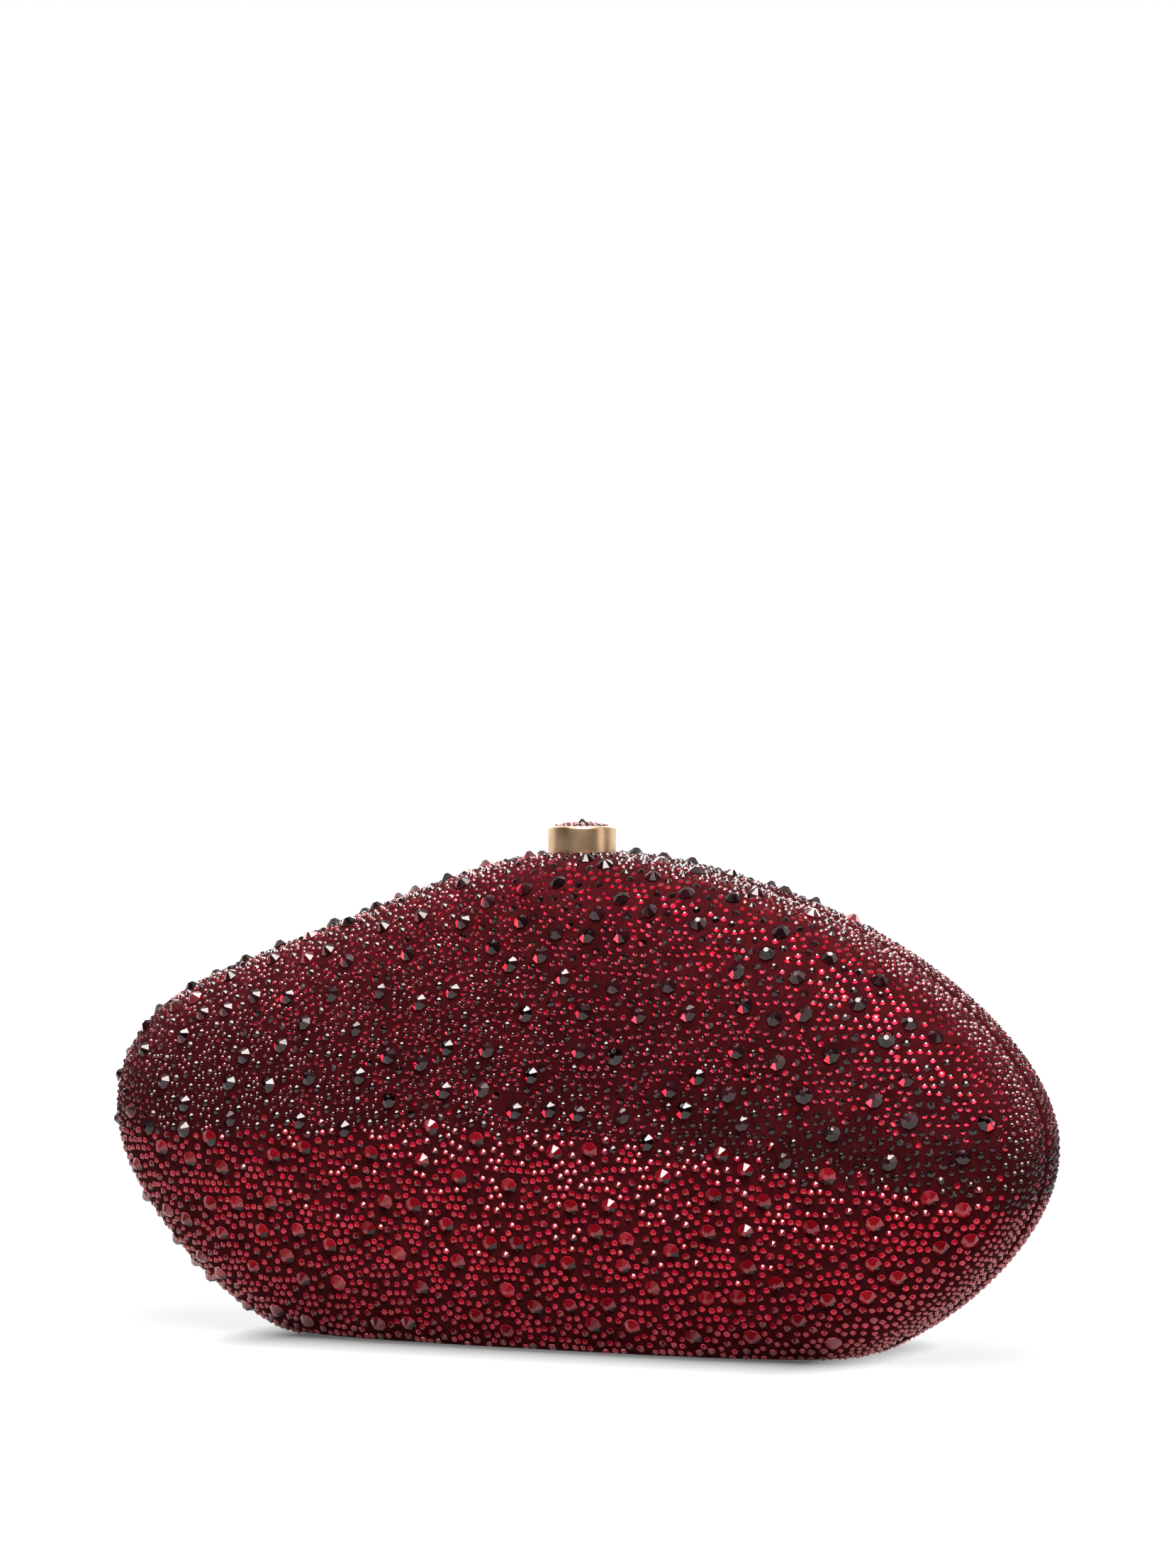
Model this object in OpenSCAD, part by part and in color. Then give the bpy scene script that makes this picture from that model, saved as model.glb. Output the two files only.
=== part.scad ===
// Hard evening clutch: two pebble-shaped halves, covered in suede and set with crystals,
// meet at an upright parting plane. They hinge along the base and are held shut by a catch
// under a round press button on the top edge.
// The front half faces -Y, the base rests on z = 0 and the parting plane is y = 0.

/* [Bag] */
// Width over the two ends
body_w = 225; // [200:1:250]
// Height from the flat base to the top of the outline
body_h = 108.5; // [98:0.5:118]
// Depth over the two faces, shut
body_d = 56; // [50:0.5:64]
// Squareness of the cross section, where 2 is an ellipse
edge_power = 3.2; // [2.8:0.1:3.6]
// Width of the groove between the two halves
seam_gap = 0.8; // [0.7:0.05:1.2]

/* [Skins] */
// Thickness of the suede cover on its card
cover_t = 1; // [0.8:0.05:1.3]
// Wall of the moulded shell
shell_t = 2; // [1.6:0.1:2.4]
// Thickness of the satin lining on its card
lining_t = 0.6; // [0.4:0.1:0.8]
// Glue line between one layer and the next
glue_gap = 0.2; // [0.15:0.05:0.3]

/* [Frames] */
// Thickness of the frame flange that faces the parting plane
flange_t = 1; // [0.8:0.1:1.2]
// Thickness of the frame band that runs round the mouth
band_t = 0.8; // [0.6:0.1:1]
// Depth of the frame band, away from the parting plane
band_d = 4; // [3.4:0.1:4.4]
// How far the rear lip reaches past its flange into the front half
lip_reach = 2.4; // [1.6:0.1:2.8]
// Play between the rear lip and the front band
lip_gap = 0.4; // [0.35:0.05:0.6]

/* [Hinge] */
// Outer radius of the hinge barrel
barrel_r = 2; // [1.8:0.05:2.1]
// Radius of the hinge pin
pin_r = 1; // [0.8:0.05:1.1]
// Running clearance of pins and stems, on the radius
run_gap = 0.05; // [0.03:0.01:0.08]
// Length of the hinge barrel
barrel_len = 90; // [70:1:105]
// Number of knuckles, an odd number
knuckle_count = 5; // [3:2:7]
// Gap between neighbouring knuckles
knuckle_gap = 0.3; // [0.25:0.05:0.5]
// Thickness of the hinge leaves
leaf_t = 0.8; // [0.6:0.1:1]
// Reach of a hinge leaf from the parting plane
leaf_reach = 13; // [11:0.5:14]
// Radius of a rivet shank
rivet_r = 1; // [0.8:0.1:1.2]

/* [Clasp] */
// Place of the press button along the width
clasp_x = 2.5; // [-2:0.5:8]
// Radius of the press button
knob_r = 7.5; // [7:0.1:8]
// Height of the press button above the top of the bag
knob_h = 5.6; // [4.5:0.1:7]
// Travel of the press button
press_travel = 2; // [1.8:0.1:2.4]
// Wall of the press button
knob_wall = 1; // [0.8:0.1:1.2]
// Air between the button and the well it slides in
knob_gap = 0.35; // [0.3:0.05:0.5]
// Wall of the well
well_wall = 0.8; // [0.6:0.1:1]
// Radius of the stem under the button
stem_r = 2; // [1.8:0.1:2.2]

/* [Crystals] */
// Radius of a large crystal
crystal_r = 1.95; // [1.6:0.05:2.2]
// Height of a large crystal
crystal_h = 1.5; // [1.2:0.1:1.8]
// Usual spacing of the large crystals
crystal_pitch = 8; // [7:0.5:20]
// Radius of the small crystals on the button
pave_r = 0.95; // [0.8:0.05:1]

/* [Hidden] */
$fn = 48;

// Control frame of the outline seen from the front, as shares of half the width and of the height
OUTLINE_SHARES = [
    [1.01, 0.30], [1.01, 0.54], [0.73, 0.81], [0.36, 0.96], [-0.01, 1.03], [-0.30, 0.925],
    [-0.65, 0.79], [-0.94, 0.68], [-1.04, 0.44], [-0.90, 0.20], [-0.63, -0.04], [-0.16, -0.09],
    [0.37, -0.10], [0.76, 0.03]
];
// Height of the pole of both faces, as a share of the height
pole_share = 0.5;
// Points round the outline, and rings from the rim to the pole
around = 56;
rings = 10;
// Crowding of the rings towards the rim
ring_power = 1.35;
// Half of the height over which the outline rolls into the flat base
base_blend = 1.5;
// Overrun of every cut
over = 1;

rear = 1;
front = -1;
rim_y = seam_gap / 2;
half_d = body_d / 2;
curve_power = 2 / edge_power;

// Depths of the layers under the outside surface
shell_k = cover_t + glue_gap;
shell_in_k = shell_k + shell_t;
lining_k = shell_in_k + glue_gap;
lining_in_k = lining_k + lining_t;
// Rims of the layers, measured from the parting plane
flange_back = rim_y + flange_t;
rim_gap = 0.1;
shell_rim_y = flange_back + rim_gap;
band_back = rim_y + band_d;
lining_rim_y = band_back + 3 * rim_gap;
// Frame bands: the front one runs outside the rear lip
front_band_k = lining_in_k + 0.35 * shell_t;
front_band_in_k = front_band_k + band_t;
rear_band_k = front_band_in_k + lip_gap;
rear_band_in_k = rear_band_k + band_t;
// The lip is left out near the hinge and round the clasp
lip_low_share = 0.23;
lip_clasp_gap = 18;

// The hinge axis lies inside the base, and a slot along the base clears its barrel
axis_z = barrel_r + glue_gap;
slot_half = barrel_r + cover_t * 0.8;
slot_top = front_band_k - rim_gap;
leaf_z = shell_in_k + rim_gap;
leaf_edge = barrel_r + 2 * knuckle_gap;
knuckle_len = (barrel_len - (knuckle_count - 1) * knuckle_gap) / knuckle_count;
pin_head_r = 1.5;
pin_head_t = 0.6;
leaf_corner_r = 2;
rivet_head_r = 1.8;
rivet_head_t = 0.6;
rivet_y = 9;
rivet_shares = [-0.42, -0.14, 0.14, 0.42];
// The lining's floor lies just over the rivet heads
lining_floor = leaf_z + leaf_t + rivet_head_t + glue_gap;

// Heights in the clasp, all measured from the top of the outline
cap_recess = 1;
knob_top = body_h + knob_h;
knob_floor = knob_top - cap_recess;
knob_under = knob_floor - knob_wall;
knob_skirt = 5;
knob_bottom = body_h - knob_skirt;
knob_chamfer = 0.35;
knob_lip = 0.9;
boss_r = 3.2;
boss_h = 3;
travel_spare = 2.4;
well_r = knob_r + knob_gap;
well_out_r = well_r + well_wall;
well_drop = 2.8;
well_top = body_h - well_drop;
well_floor = knob_bottom - press_travel - travel_spare;
well_floor_t = 1;
well_under = well_floor - well_floor_t;
clasp_gap = 0.4;
bush_r = 3.5;
bush_flange_r = 4.2;
bush_flange_t = 0.7;
bush_drop = 1;
bush_under = well_under - bush_drop;

// Ears of the well and of the yoke, screwed up into pads on the two frames
pad_in = well_out_r + 2 * clasp_gap;
pad_out = pad_in + 6;
ear_near = rim_y + clasp_gap;
ear_far = band_back - 0.2 * flange_t;
ear_mid = (ear_near + ear_far) / 2;
screw_x = (pad_in + pad_out) / 2 + 0.2 * well_floor_t;
screw_r = 0.8;
screw_len = 2.4;
screw_head_r = 1.4;
screw_head_t = 0.6;

// The yoke is a strap that hangs from the front frame and forks round the stem
yoke_t = 1;
yoke_clear = 0.6;
yoke_top = bush_under - yoke_clear;
yoke_under = yoke_top - yoke_t;
yoke_leg_t = 1.2;
fork_half = stem_r + 1;
fork_tip = 6;
nose_t = 1.7;
nose_h = 1.5;
nose_under = yoke_under - nose_h;
prong_half = 9;

// The latch plate on the stem, with the tooth that stands in front of the fork's noses
catch_gap = 0.3;
latch_t = 1;
latch_top = nose_under - catch_gap;
latch_under = latch_top - latch_t;
latch_front = 3;
tooth_far = fork_tip - nose_t - catch_gap;
tooth_near = stem_r + catch_gap;
tooth_top = yoke_under - 0.2 * yoke_t;
spigot_r = 1.4;
spigot_end = 1.2;
retainer_t = 0.5;
retainer_r = 2.8;
groove_r = 1;
retainer_top = latch_under - rim_gap;
retainer_under = retainer_top - retainer_t;

// Return spring between the well's floor and the button
wire_r = 0.35;
coil_r = 5.2;
coil_turns = 6;
coil_steps = 8;
wire_sides = 6;
coil_flat_share = 0.08;

// Suede dome on the button
cap_r = knob_r - knob_lip - 2 * rim_gap;
cap_rise = 2.2;
cap_sphere_r = (cap_r * cap_r + cap_rise * cap_rise) / (2 * cap_rise);
cap_sphere_z = knob_floor + cap_rise - cap_sphere_r;
pave_count = 9;
pave_place_share = 0.68;
pave_h = 0.6;

// Crystals
table_share = 0.55;
crystal_seat = 0.1;
crystal_floor_gap = 3.4;
crystal_seam_gap = 2.4;
// The spacing of each one varies between these shares of the usual one
crystal_near_share = 0.65;
crystal_far_share = 1.35;
// The right end has small crystals alone, next to the seam
end_share = 0.6;
end_depth = 15;
// Places tried on each half, and the share of them that falls on the face
crystal_tries = 1900;
face_share = 0.65;
crystal_seed = 11;

suede = "#5a1420";
ruby = "#a3102c";
gold = "#b8975a";
brass = "#a98a4d";
satin = "#6b1a2b";
resin = "#2d2426";
steel = "#9a9ca0";

// Closed cubic B-spline over the control frame: weights of four neighbours, and their slopes
function weights(f) =
    [pow(1 - f, 3), 3 * pow(f, 3) - 6 * f * f + 4, -3 * pow(f, 3) + 3 * f * f + 3 * f + 1, pow(f, 3)] / 6;
function slopes(f) = [-pow(1 - f, 2), 3 * f * f - 4 * f, -3 * f * f + 2 * f + 1, f * f] / 2;
function control(i) = OUTLINE_SHARES[(i + len(OUTLINE_SHARES)) % len(OUTLINE_SHARES)];
function blend(w, i) = w[0] * control(i - 1) + w[1] * control(i) + w[2] * control(i + 1) + w[3] * control(i + 2);

spline_steps = [for (s = [0 : around - 1]) s * len(OUTLINE_SHARES) / around];
unit_outline = [for (t = spline_steps) blend(weights(t - floor(t)), floor(t))];
unit_slopes = [for (t = spline_steps) blend(slopes(t - floor(t)), floor(t))];
unit_left = min([for (p = unit_outline) p[0]]);
unit_right = max([for (p = unit_outline) p[0]]);
unit_top = max([for (p = unit_outline) p[1]]);
scale_x = body_w / (unit_right - unit_left);
scale_z = body_h / unit_top;
middle = (unit_left + unit_right) / 2;

// The outline in the X-Z plane, counter-clockwise from the right end, and its outward normals
outline = [for (p = unit_outline) [(p[0] - middle) * scale_x, p[1] * scale_z]];
normals = [for (d = unit_slopes) let (n = [d[1] * scale_z, -d[0] * scale_x]) n / norm(n)];
pole = [0, pole_share * body_h];

// Flattens the base at a level, with a short roll between the two
function soft_floor(z, level) =
    z - level > base_blend ? z
    : z - level < -base_blend ? level
    : level + pow(z - level + base_blend, 2) / (4 * base_blend);

// The outline moved inwards by k and flattened at the base
function ring(k, level) =
    [for (i = [0 : around - 1]) let (p = outline[i] - k * normals[i]) [p[0], soft_floor(p[1], level)]];

// A layer's surface: section angle of the ring that starts at depth y, and of ring j
function rim_angle(y, k) = acos(pow((y - rim_y) / (half_d - rim_y - k), 1 / curve_power));
function ring_angle(j) = 90 * (1 - pow(j / rings, ring_power));
function layer_ring(k, level, angle) =
    let (spread = pow(sin(angle), curve_power),
         out = rim_y + (half_d - rim_y - k) * pow(cos(angle), curve_power))
    [for (i = [0 : around - 1])
        let (p = pole + (outline[i] - k * normals[i] - pole) * spread)
        [p[0], out, soft_floor(p[1], level)]];
function layer_points(k, level, start_y) =
    [for (j = [0 : rings - 1]) each layer_ring(k, level, j == 0 ? rim_angle(start_y, k) : ring_angle(j)),
     [pole[0], half_d - k, pole[1]]];

// One half of a hollow layer, for the rear side, from depth outer_k to depth inner_k
module layer(outer_k, inner_k, outer_floor, inner_floor, start_y) {
    points = concat(layer_points(outer_k, outer_floor, start_y), layer_points(inner_k, inner_floor, start_y));
    tip = rings * around;
    inside = tip + 1;
    function at(i, j) = j * around + i % around;
    faces = [
        for (i = [0 : around - 1]) each [
            for (j = [0 : rings - 2]) each [
                [at(i, j), at(i + 1, j), at(i + 1, j + 1)],
                [at(i, j), at(i + 1, j + 1), at(i, j + 1)],
                [inside + at(i, j), inside + at(i + 1, j + 1), inside + at(i + 1, j)],
                [inside + at(i, j), inside + at(i, j + 1), inside + at(i + 1, j + 1)]
            ],
            [at(i, rings - 1), at(i + 1, rings - 1), tip],
            [inside + at(i + 1, rings - 1), inside + at(i, rings - 1), inside + tip],
            [at(i, 0), inside + at(i, 0), inside + at(i + 1, 0)],
            [at(i, 0), inside + at(i + 1, 0), at(i + 1, 0)]
        ]
    ];
    polyhedron(points, faces);
}

// Everything is drawn for the rear side, and mirrored for the front side
module half(side) mirror([0, side == front ? 1 : 0, 0]) children();

// A flat shape of the X-Z plane, as a slab from y0 to y1
module slab(y0, y1) rotate([90, 0, 0]) translate([0, 0, -y1]) linear_extrude(y1 - y0) children();

module at_clasp(z) translate([clasp_x, 0, z]) children();

// The slot along the base that lets the halves swing about the barrel
module hinge_slot()
    translate([-body_w / 2, -slot_half, -over]) cube([body_w, 2 * slot_half, slot_top + over]);

// The round hole on the top edge for the button or for its well
module clasp_hole(r) at_clasp(pole[1]) cylinder(h = body_h, r = r);

module cover(side) color(suede) half(side) difference() {
    layer(0, cover_t, 0, cover_t, rim_y);
    hinge_slot();
    clasp_hole(knob_r + knob_gap);
}

module shell(side) color(resin) half(side) difference() {
    layer(shell_k, shell_in_k, shell_k, shell_in_k, shell_rim_y);
    hinge_slot();
    clasp_hole(well_out_r + clasp_gap);
    rivet_holes();
}

module lining(side) color(satin) half(side) difference() {
    layer(lining_k, lining_in_k, lining_floor, lining_floor + lining_t, lining_rim_y);
    clasp_hole(well_out_r + clasp_gap);
}

// A closed strip of the X-Z plane between two depths under the outline
module strip(outer_k, inner_k) difference() {
    polygon(ring(outer_k, outer_k));
    polygon(ring(inner_k, inner_k));
}

// The pads under a frame band that the clasp's ears are screwed to
module pads(band_k) intersection() {
    polygon(ring(band_k, band_k));
    for (s = [-1, 1])
        translate([clasp_x + s * (pad_in + pad_out) / 2 - (pad_out - pad_in) / 2, well_floor])
            square([pad_out - pad_in, body_h - well_floor]);
}

// An angle section: a flange at the parting plane and a band round the mouth
module frame(side, band_k, band_in_k) color(brass) difference() {
    union() {
        half(side) {
            slab(rim_y, flange_back) strip(shell_k, band_in_k);
            slab(rim_y, band_back) strip(band_k, band_in_k);
            slab(rim_y, band_back) pads(band_k);
        }
        if (side == rear) lip(band_k, band_in_k);
    }
    hinge_slot();
    clasp_hole(well_out_r + clasp_gap);
    screw_holes(side, well_floor + screw_len - well_floor_t);
}

// The lip lines the halves up: it stands from the rear band into the front one
module lip(band_k, band_in_k) slab(rim_y - lip_reach, flange_back) intersection() {
    strip(band_k, band_in_k);
    translate([-body_w / 2, lip_low_share * body_h]) difference() {
        square([body_w, body_h]);
        translate([body_w / 2 + clasp_x - lip_clasp_gap, 0]) square([2 * lip_clasp_gap, body_h]);
    }
}

module knuckle_x(i) translate([-barrel_len / 2 + i * (knuckle_len + knuckle_gap), 0, 0]) children();

module rivet_holes() for (s = rivet_shares)
    translate([s * barrel_len, rivet_y, -over]) cylinder(h = leaf_z + leaf_t + 2 * over, r = rivet_r + run_gap);

// A plate with round corners, lying in the X-Y plane
module round_plate(size_x, size_y, corner_r, t) linear_extrude(t) {
    translate([corner_r, 0]) square([size_x - 2 * corner_r, size_y]);
    translate([0, corner_r]) square([size_x, size_y - 2 * corner_r]);
    for (x = [corner_r, size_x - corner_r], y = [corner_r, size_y - corner_r]) translate([x, y]) circle(corner_r);
}

// The rear leaf has the outer knuckles and every second one, the front leaf has the rest
module hinge_leaf(side) color(brass) half(side) difference() {
    union() {
        translate([-barrel_len / 2, leaf_edge, leaf_z])
            round_plate(barrel_len, leaf_reach - leaf_edge, leaf_corner_r, leaf_t);
        for (i = [side == rear ? 0 : 1 : 2 : knuckle_count - 1]) knuckle_x(i) {
            translate([0, 0, leaf_z]) cube([knuckle_len, leaf_edge + leaf_corner_r, axis_z + barrel_r - leaf_z]);
            translate([0, 0, axis_z]) rotate([0, 90, 0]) cylinder(h = knuckle_len, r = barrel_r);
        }
    }
    translate([-barrel_len / 2 - over, 0, axis_z]) rotate([0, 90, 0])
        cylinder(h = barrel_len + 2 * over, r = pin_r + run_gap);
    rivet_holes();
}

module hinge_pin() color(steel) translate([-barrel_len / 2, 0, axis_z]) rotate([0, 90, 0]) {
    cylinder(h = barrel_len, r = pin_r);
    for (z = [-pin_head_t, barrel_len]) translate([0, 0, z]) cylinder(h = pin_head_t, r = pin_head_r);
}

module hinge_rivets(side) color(brass) half(side) for (s = rivet_shares) translate([s * barrel_len, rivet_y, 0]) {
    translate([0, 0, shell_k]) cylinder(h = leaf_z + leaf_t - shell_k, r = rivet_r);
    translate([0, 0, leaf_z + leaf_t]) cylinder(h = rivet_head_t, r = rivet_head_r);
}

// Places of the two screws of one side's ears
module screw_places(side) half(side) for (s = [-1, 1]) translate([clasp_x + s * screw_x, ear_mid, 0]) children();

module screw_holes(side, top)
    screw_places(side) translate([0, 0, well_under - over]) cylinder(h = top - well_under + over, r = screw_r + run_gap);

module screws(side) color(steel) screw_places(side) {
    translate([0, 0, well_under]) cylinder(h = screw_len, r = screw_r);
    translate([0, 0, well_under - screw_head_t]) cylinder(h = screw_head_t, r = screw_head_r);
}

// The ears of one side, at the height where they meet the pads
module ears(side, inner) half(side) for (s = [-1, 1])
    translate([clasp_x + (s > 0 ? inner : -pad_out), ear_near, well_under])
        cube([pad_out - inner, ear_far - ear_near, well_floor_t]);

// The well that the button slides in, fixed to the rear frame
module clasp_housing() color(brass) difference() {
    union() {
        at_clasp(well_under) cylinder(h = well_top - well_under, r = well_out_r);
        ears(rear, stem_r);
    }
    at_clasp(well_floor) cylinder(h = well_top, r = well_r);
    at_clasp(well_under - over) cylinder(h = well_floor, r = bush_r + run_gap);
    screw_holes(rear, well_floor + over);
}

module guide_bush() color(steel) difference() {
    union() {
        at_clasp(bush_under) cylinder(h = well_floor - bush_under, r = bush_r);
        at_clasp(well_floor) cylinder(h = bush_flange_t, r = bush_flange_r);
    }
    at_clasp(bush_under - over) cylinder(h = well_floor, r = stem_r + run_gap);
}

// Height of the wire along the spring: level for a short way at each end
function coil_height(share) =
    let (low = well_floor + wire_r + rim_gap, high = knob_under - wire_r - rim_gap,
         rise = min(1, max(0, (share - coil_flat_share) / (1 - 2 * coil_flat_share))))
    low + (high - low) * rise;
function coil_point(s) =
    let (share = s / (coil_turns * coil_steps), a = 360 * s / coil_steps)
    [clasp_x + coil_r * cos(a), coil_r * sin(a), coil_height(share)];
function wire_ring(s) =
    let (p = coil_point(s), a = 360 * s / coil_steps)
    [for (i = [0 : wire_sides - 1]) let (b = -360 * i / wire_sides)
        p + wire_r * [cos(b) * cos(a), cos(b) * sin(a), sin(b)]];

module return_spring() {
    last = coil_turns * coil_steps;
    points = [for (s = [0 : last]) each wire_ring(s)];
    faces = concat(
        [for (s = [0 : last - 1], i = [0 : wire_sides - 1])
            let (a = s * wire_sides, n = (i + 1) % wire_sides) each
            [[a + i, a + wire_sides + n, a + n], [a + i, a + wire_sides + i, a + wire_sides + n]]],
        [for (i = [1 : wire_sides - 2]) each
            [[0, i, i + 1], [last * wire_sides, last * wire_sides + i + 1, last * wire_sides + i]]]);
    color(steel) polyhedron(points, faces);
}

// Strap that hangs from the front frame, passes under the well and forks round the stem
module catch_yoke() color(brass) difference() {
    union() {
        ears(front, pad_in);
        half(front) for (s = [-1, 1])
            translate([clasp_x + (s > 0 ? pad_in : -pad_in - yoke_leg_t), ear_near, yoke_under])
                cube([yoke_leg_t, ear_far - ear_near, well_floor - yoke_under]);
        translate([clasp_x - pad_in - yoke_leg_t, -ear_far, yoke_under])
            cube([2 * (pad_in + yoke_leg_t), ear_far - ear_near, yoke_t]);
        translate([clasp_x - prong_half, -ear_near - yoke_t, yoke_under])
            cube([2 * prong_half, fork_tip + ear_near + yoke_t, yoke_t]);
        translate([clasp_x - prong_half, fork_tip - nose_t, nose_under])
            cube([2 * prong_half, nose_t, nose_h + yoke_t]);
    }
    translate([clasp_x - fork_half, -fork_half, nose_under - over])
        cube([2 * fork_half, fork_tip + fork_half + over, nose_h + yoke_t + 2 * over]);
    screw_holes(front, well_floor + over);
}

// The cup-shaped press button, turned from brass
module button_knob() color(gold) at_clasp(0) rotate_extrude() polygon([
    [spigot_r + run_gap, knob_under - boss_h], [boss_r, knob_under - boss_h], [boss_r, knob_under],
    [knob_r - knob_wall, knob_under], [knob_r - knob_wall, knob_bottom], [knob_r, knob_bottom],
    [knob_r, knob_top - knob_chamfer], [knob_r - knob_chamfer, knob_top],
    [knob_r - knob_lip, knob_top], [knob_r - knob_lip, knob_floor], [0, knob_floor],
    [0, knob_under], [spigot_r + run_gap, knob_under]
]);

module button_stem() color(steel) at_clasp(0) rotate_extrude() polygon([
    [0, retainer_under - spigot_end], [spigot_r, retainer_under - spigot_end],
    [spigot_r, retainer_under - run_gap], [groove_r, retainer_under - run_gap],
    [groove_r, retainer_top + run_gap], [spigot_r, retainer_top + run_gap], [spigot_r, latch_top],
    [stem_r, latch_top], [stem_r, knob_under - boss_h], [spigot_r, knob_under - boss_h],
    [spigot_r, knob_under - rim_gap], [0, knob_under - rim_gap]
]);

// The plate that the button pushes down, with its tooth in front of the fork's noses
module latch_plate() color(steel) difference() {
    union() {
        translate([clasp_x - prong_half, -latch_front, latch_under])
            round_plate(2 * prong_half, fork_tip + latch_front, leaf_corner_r, latch_t);
        translate([clasp_x - prong_half, tooth_near, latch_under])
            cube([2 * prong_half, tooth_far - tooth_near, tooth_top - latch_under]);
    }
    at_clasp(latch_under - over) cylinder(h = latch_t + 2 * over, r = spigot_r + run_gap);
}

module latch_retainer() color(steel) at_clasp(retainer_under) linear_extrude(retainer_t) difference() {
    circle(retainer_r);
    circle(groove_r + run_gap);
    translate([-groove_r, -retainer_r - over]) square([2 * groove_r, retainer_r + over]);
}

module button_cap() color(suede) at_clasp(0) intersection() {
    translate([0, 0, cap_sphere_z]) sphere(cap_sphere_r);
    translate([0, 0, knob_floor]) cylinder(h = 2 * cap_rise, r = cap_r);
}

// A flat-backed crystal, standing on the X-Y plane
module crystal(r, h) cylinder(h = h, r1 = r, r2 = r * table_share);

// One large crystal at the dome's crown, with a ring of small ones round it
module button_crystals() color(ruby) at_clasp(cap_sphere_z) {
    translate([0, 0, cap_sphere_r + crystal_seat]) crystal(crystal_r, crystal_h);
    lean = asin(pave_place_share * cap_r / cap_sphere_r);
    for (i = [0 : pave_count - 1]) rotate([0, lean, 360 * i / pave_count])
        translate([0, 0, cap_sphere_r + crystal_seat]) crystal(pave_r, pave_h);
}

// Distance along the outline, and what lies at that distance
reach = [for (i = 0, s = 0; i <= around;
    s = s + norm(outline[(i + 1) % around] - outline[i % around]), i = i + 1) s];
function along(s, values, axis) = lookup(s, [for (i = [0 : around]) [reach[i], values[i % around][axis]]]);

// Where a crystal sits: its foot on the rear surface and the normal there
function spot(s, angle) =
    let (edge = [along(s, outline, 0), along(s, outline, 1)],
         n = [along(s, normals, 0), along(s, normals, 1)],
         p = pole + (edge - pole) * pow(sin(angle), curve_power),
         y = rim_y + (half_d - rim_y) * pow(cos(angle), curve_power),
         sideways = (half_d - rim_y) * pow(cos(angle), curve_power - 1) * sin(angle),
         forwards = ((edge - pole) * n) * pow(sin(angle), curve_power - 1) * cos(angle),
         m = [n[0] * sideways, forwards, n[1] * sideways])
    [[p[0], y, p[1]], m / norm(m)];

function is_free(p) =
    p[2] > crystal_floor_gap && p[1] > rim_y + crystal_seam_gap
    && (p[0] < end_share * body_w / 2 || p[1] > end_depth)
    && (p[2] < pole[1] || norm([p[0] - clasp_x, p[1]]) > knob_r + knob_gap + 2 * crystal_r);
function is_apart(p, least, kept) = len([for (q = kept) if (norm(q[0] - p) < least) 1]) == 0;
function scatter(tries, i, kept) =
    i == len(tries) ? kept
    : let (c = spot(tries[i][0], tries[i][1]))
      scatter(tries, i + 1, is_free(c[0]) && is_apart(c[0], tries[i][2], kept) ? concat(kept, [c]) : kept);

// Section angles that spread the tries over the face, up to a share of them, and over the sides
function try_angle(share) =
    share < face_share ? asin(pow(sqrt(share / face_share), 1 / curve_power))
    : acos(pow((share - face_share) / (1 - face_share), 1 / curve_power));

module crystals(side) {
    places = rands(0, reach[around], crystal_tries, crystal_seed + side);
    angles = rands(0, 1, crystal_tries, crystal_seed - side);
    spacings = rands(crystal_near_share, crystal_far_share, crystal_tries, crystal_seed + 2 * side);
    tries = [for (i = [0 : crystal_tries - 1])
        [places[i], try_angle(angles[i]), spacings[i] * crystal_pitch]];
    color(ruby) half(side) for (c = scatter(tries, 0, []))
        translate(c[0] + crystal_seat * c[1]) rotate([0, acos(c[1][2]), atan2(c[1][1], c[1][0])])
            crystal(crystal_r, crystal_h);
}

cover(rear);  // rear_cover
shell(rear);  // rear_shell
lining(rear);  // rear_lining
frame(rear, rear_band_k, rear_band_in_k);  // rear_frame
hinge_leaf(rear);  // rear_hinge_leaf
hinge_pin();
hinge_rivets(rear);  // rear_hinge_rivets
crystals(rear);  // rear_crystals
clasp_housing();
guide_bush();
return_spring();
screws(rear);  // housing_screws
cover(front);  // front_cover
shell(front);  // front_shell
lining(front);  // front_lining
frame(front, front_band_k, front_band_in_k);  // front_frame
hinge_leaf(front);  // front_hinge_leaf
hinge_rivets(front);  // front_hinge_rivets
crystals(front);  // front_crystals
catch_yoke();
screws(front);  // yoke_screws
button_knob();
button_stem();
latch_plate();
latch_retainer();
button_cap();
button_crystals();
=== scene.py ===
import math

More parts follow.
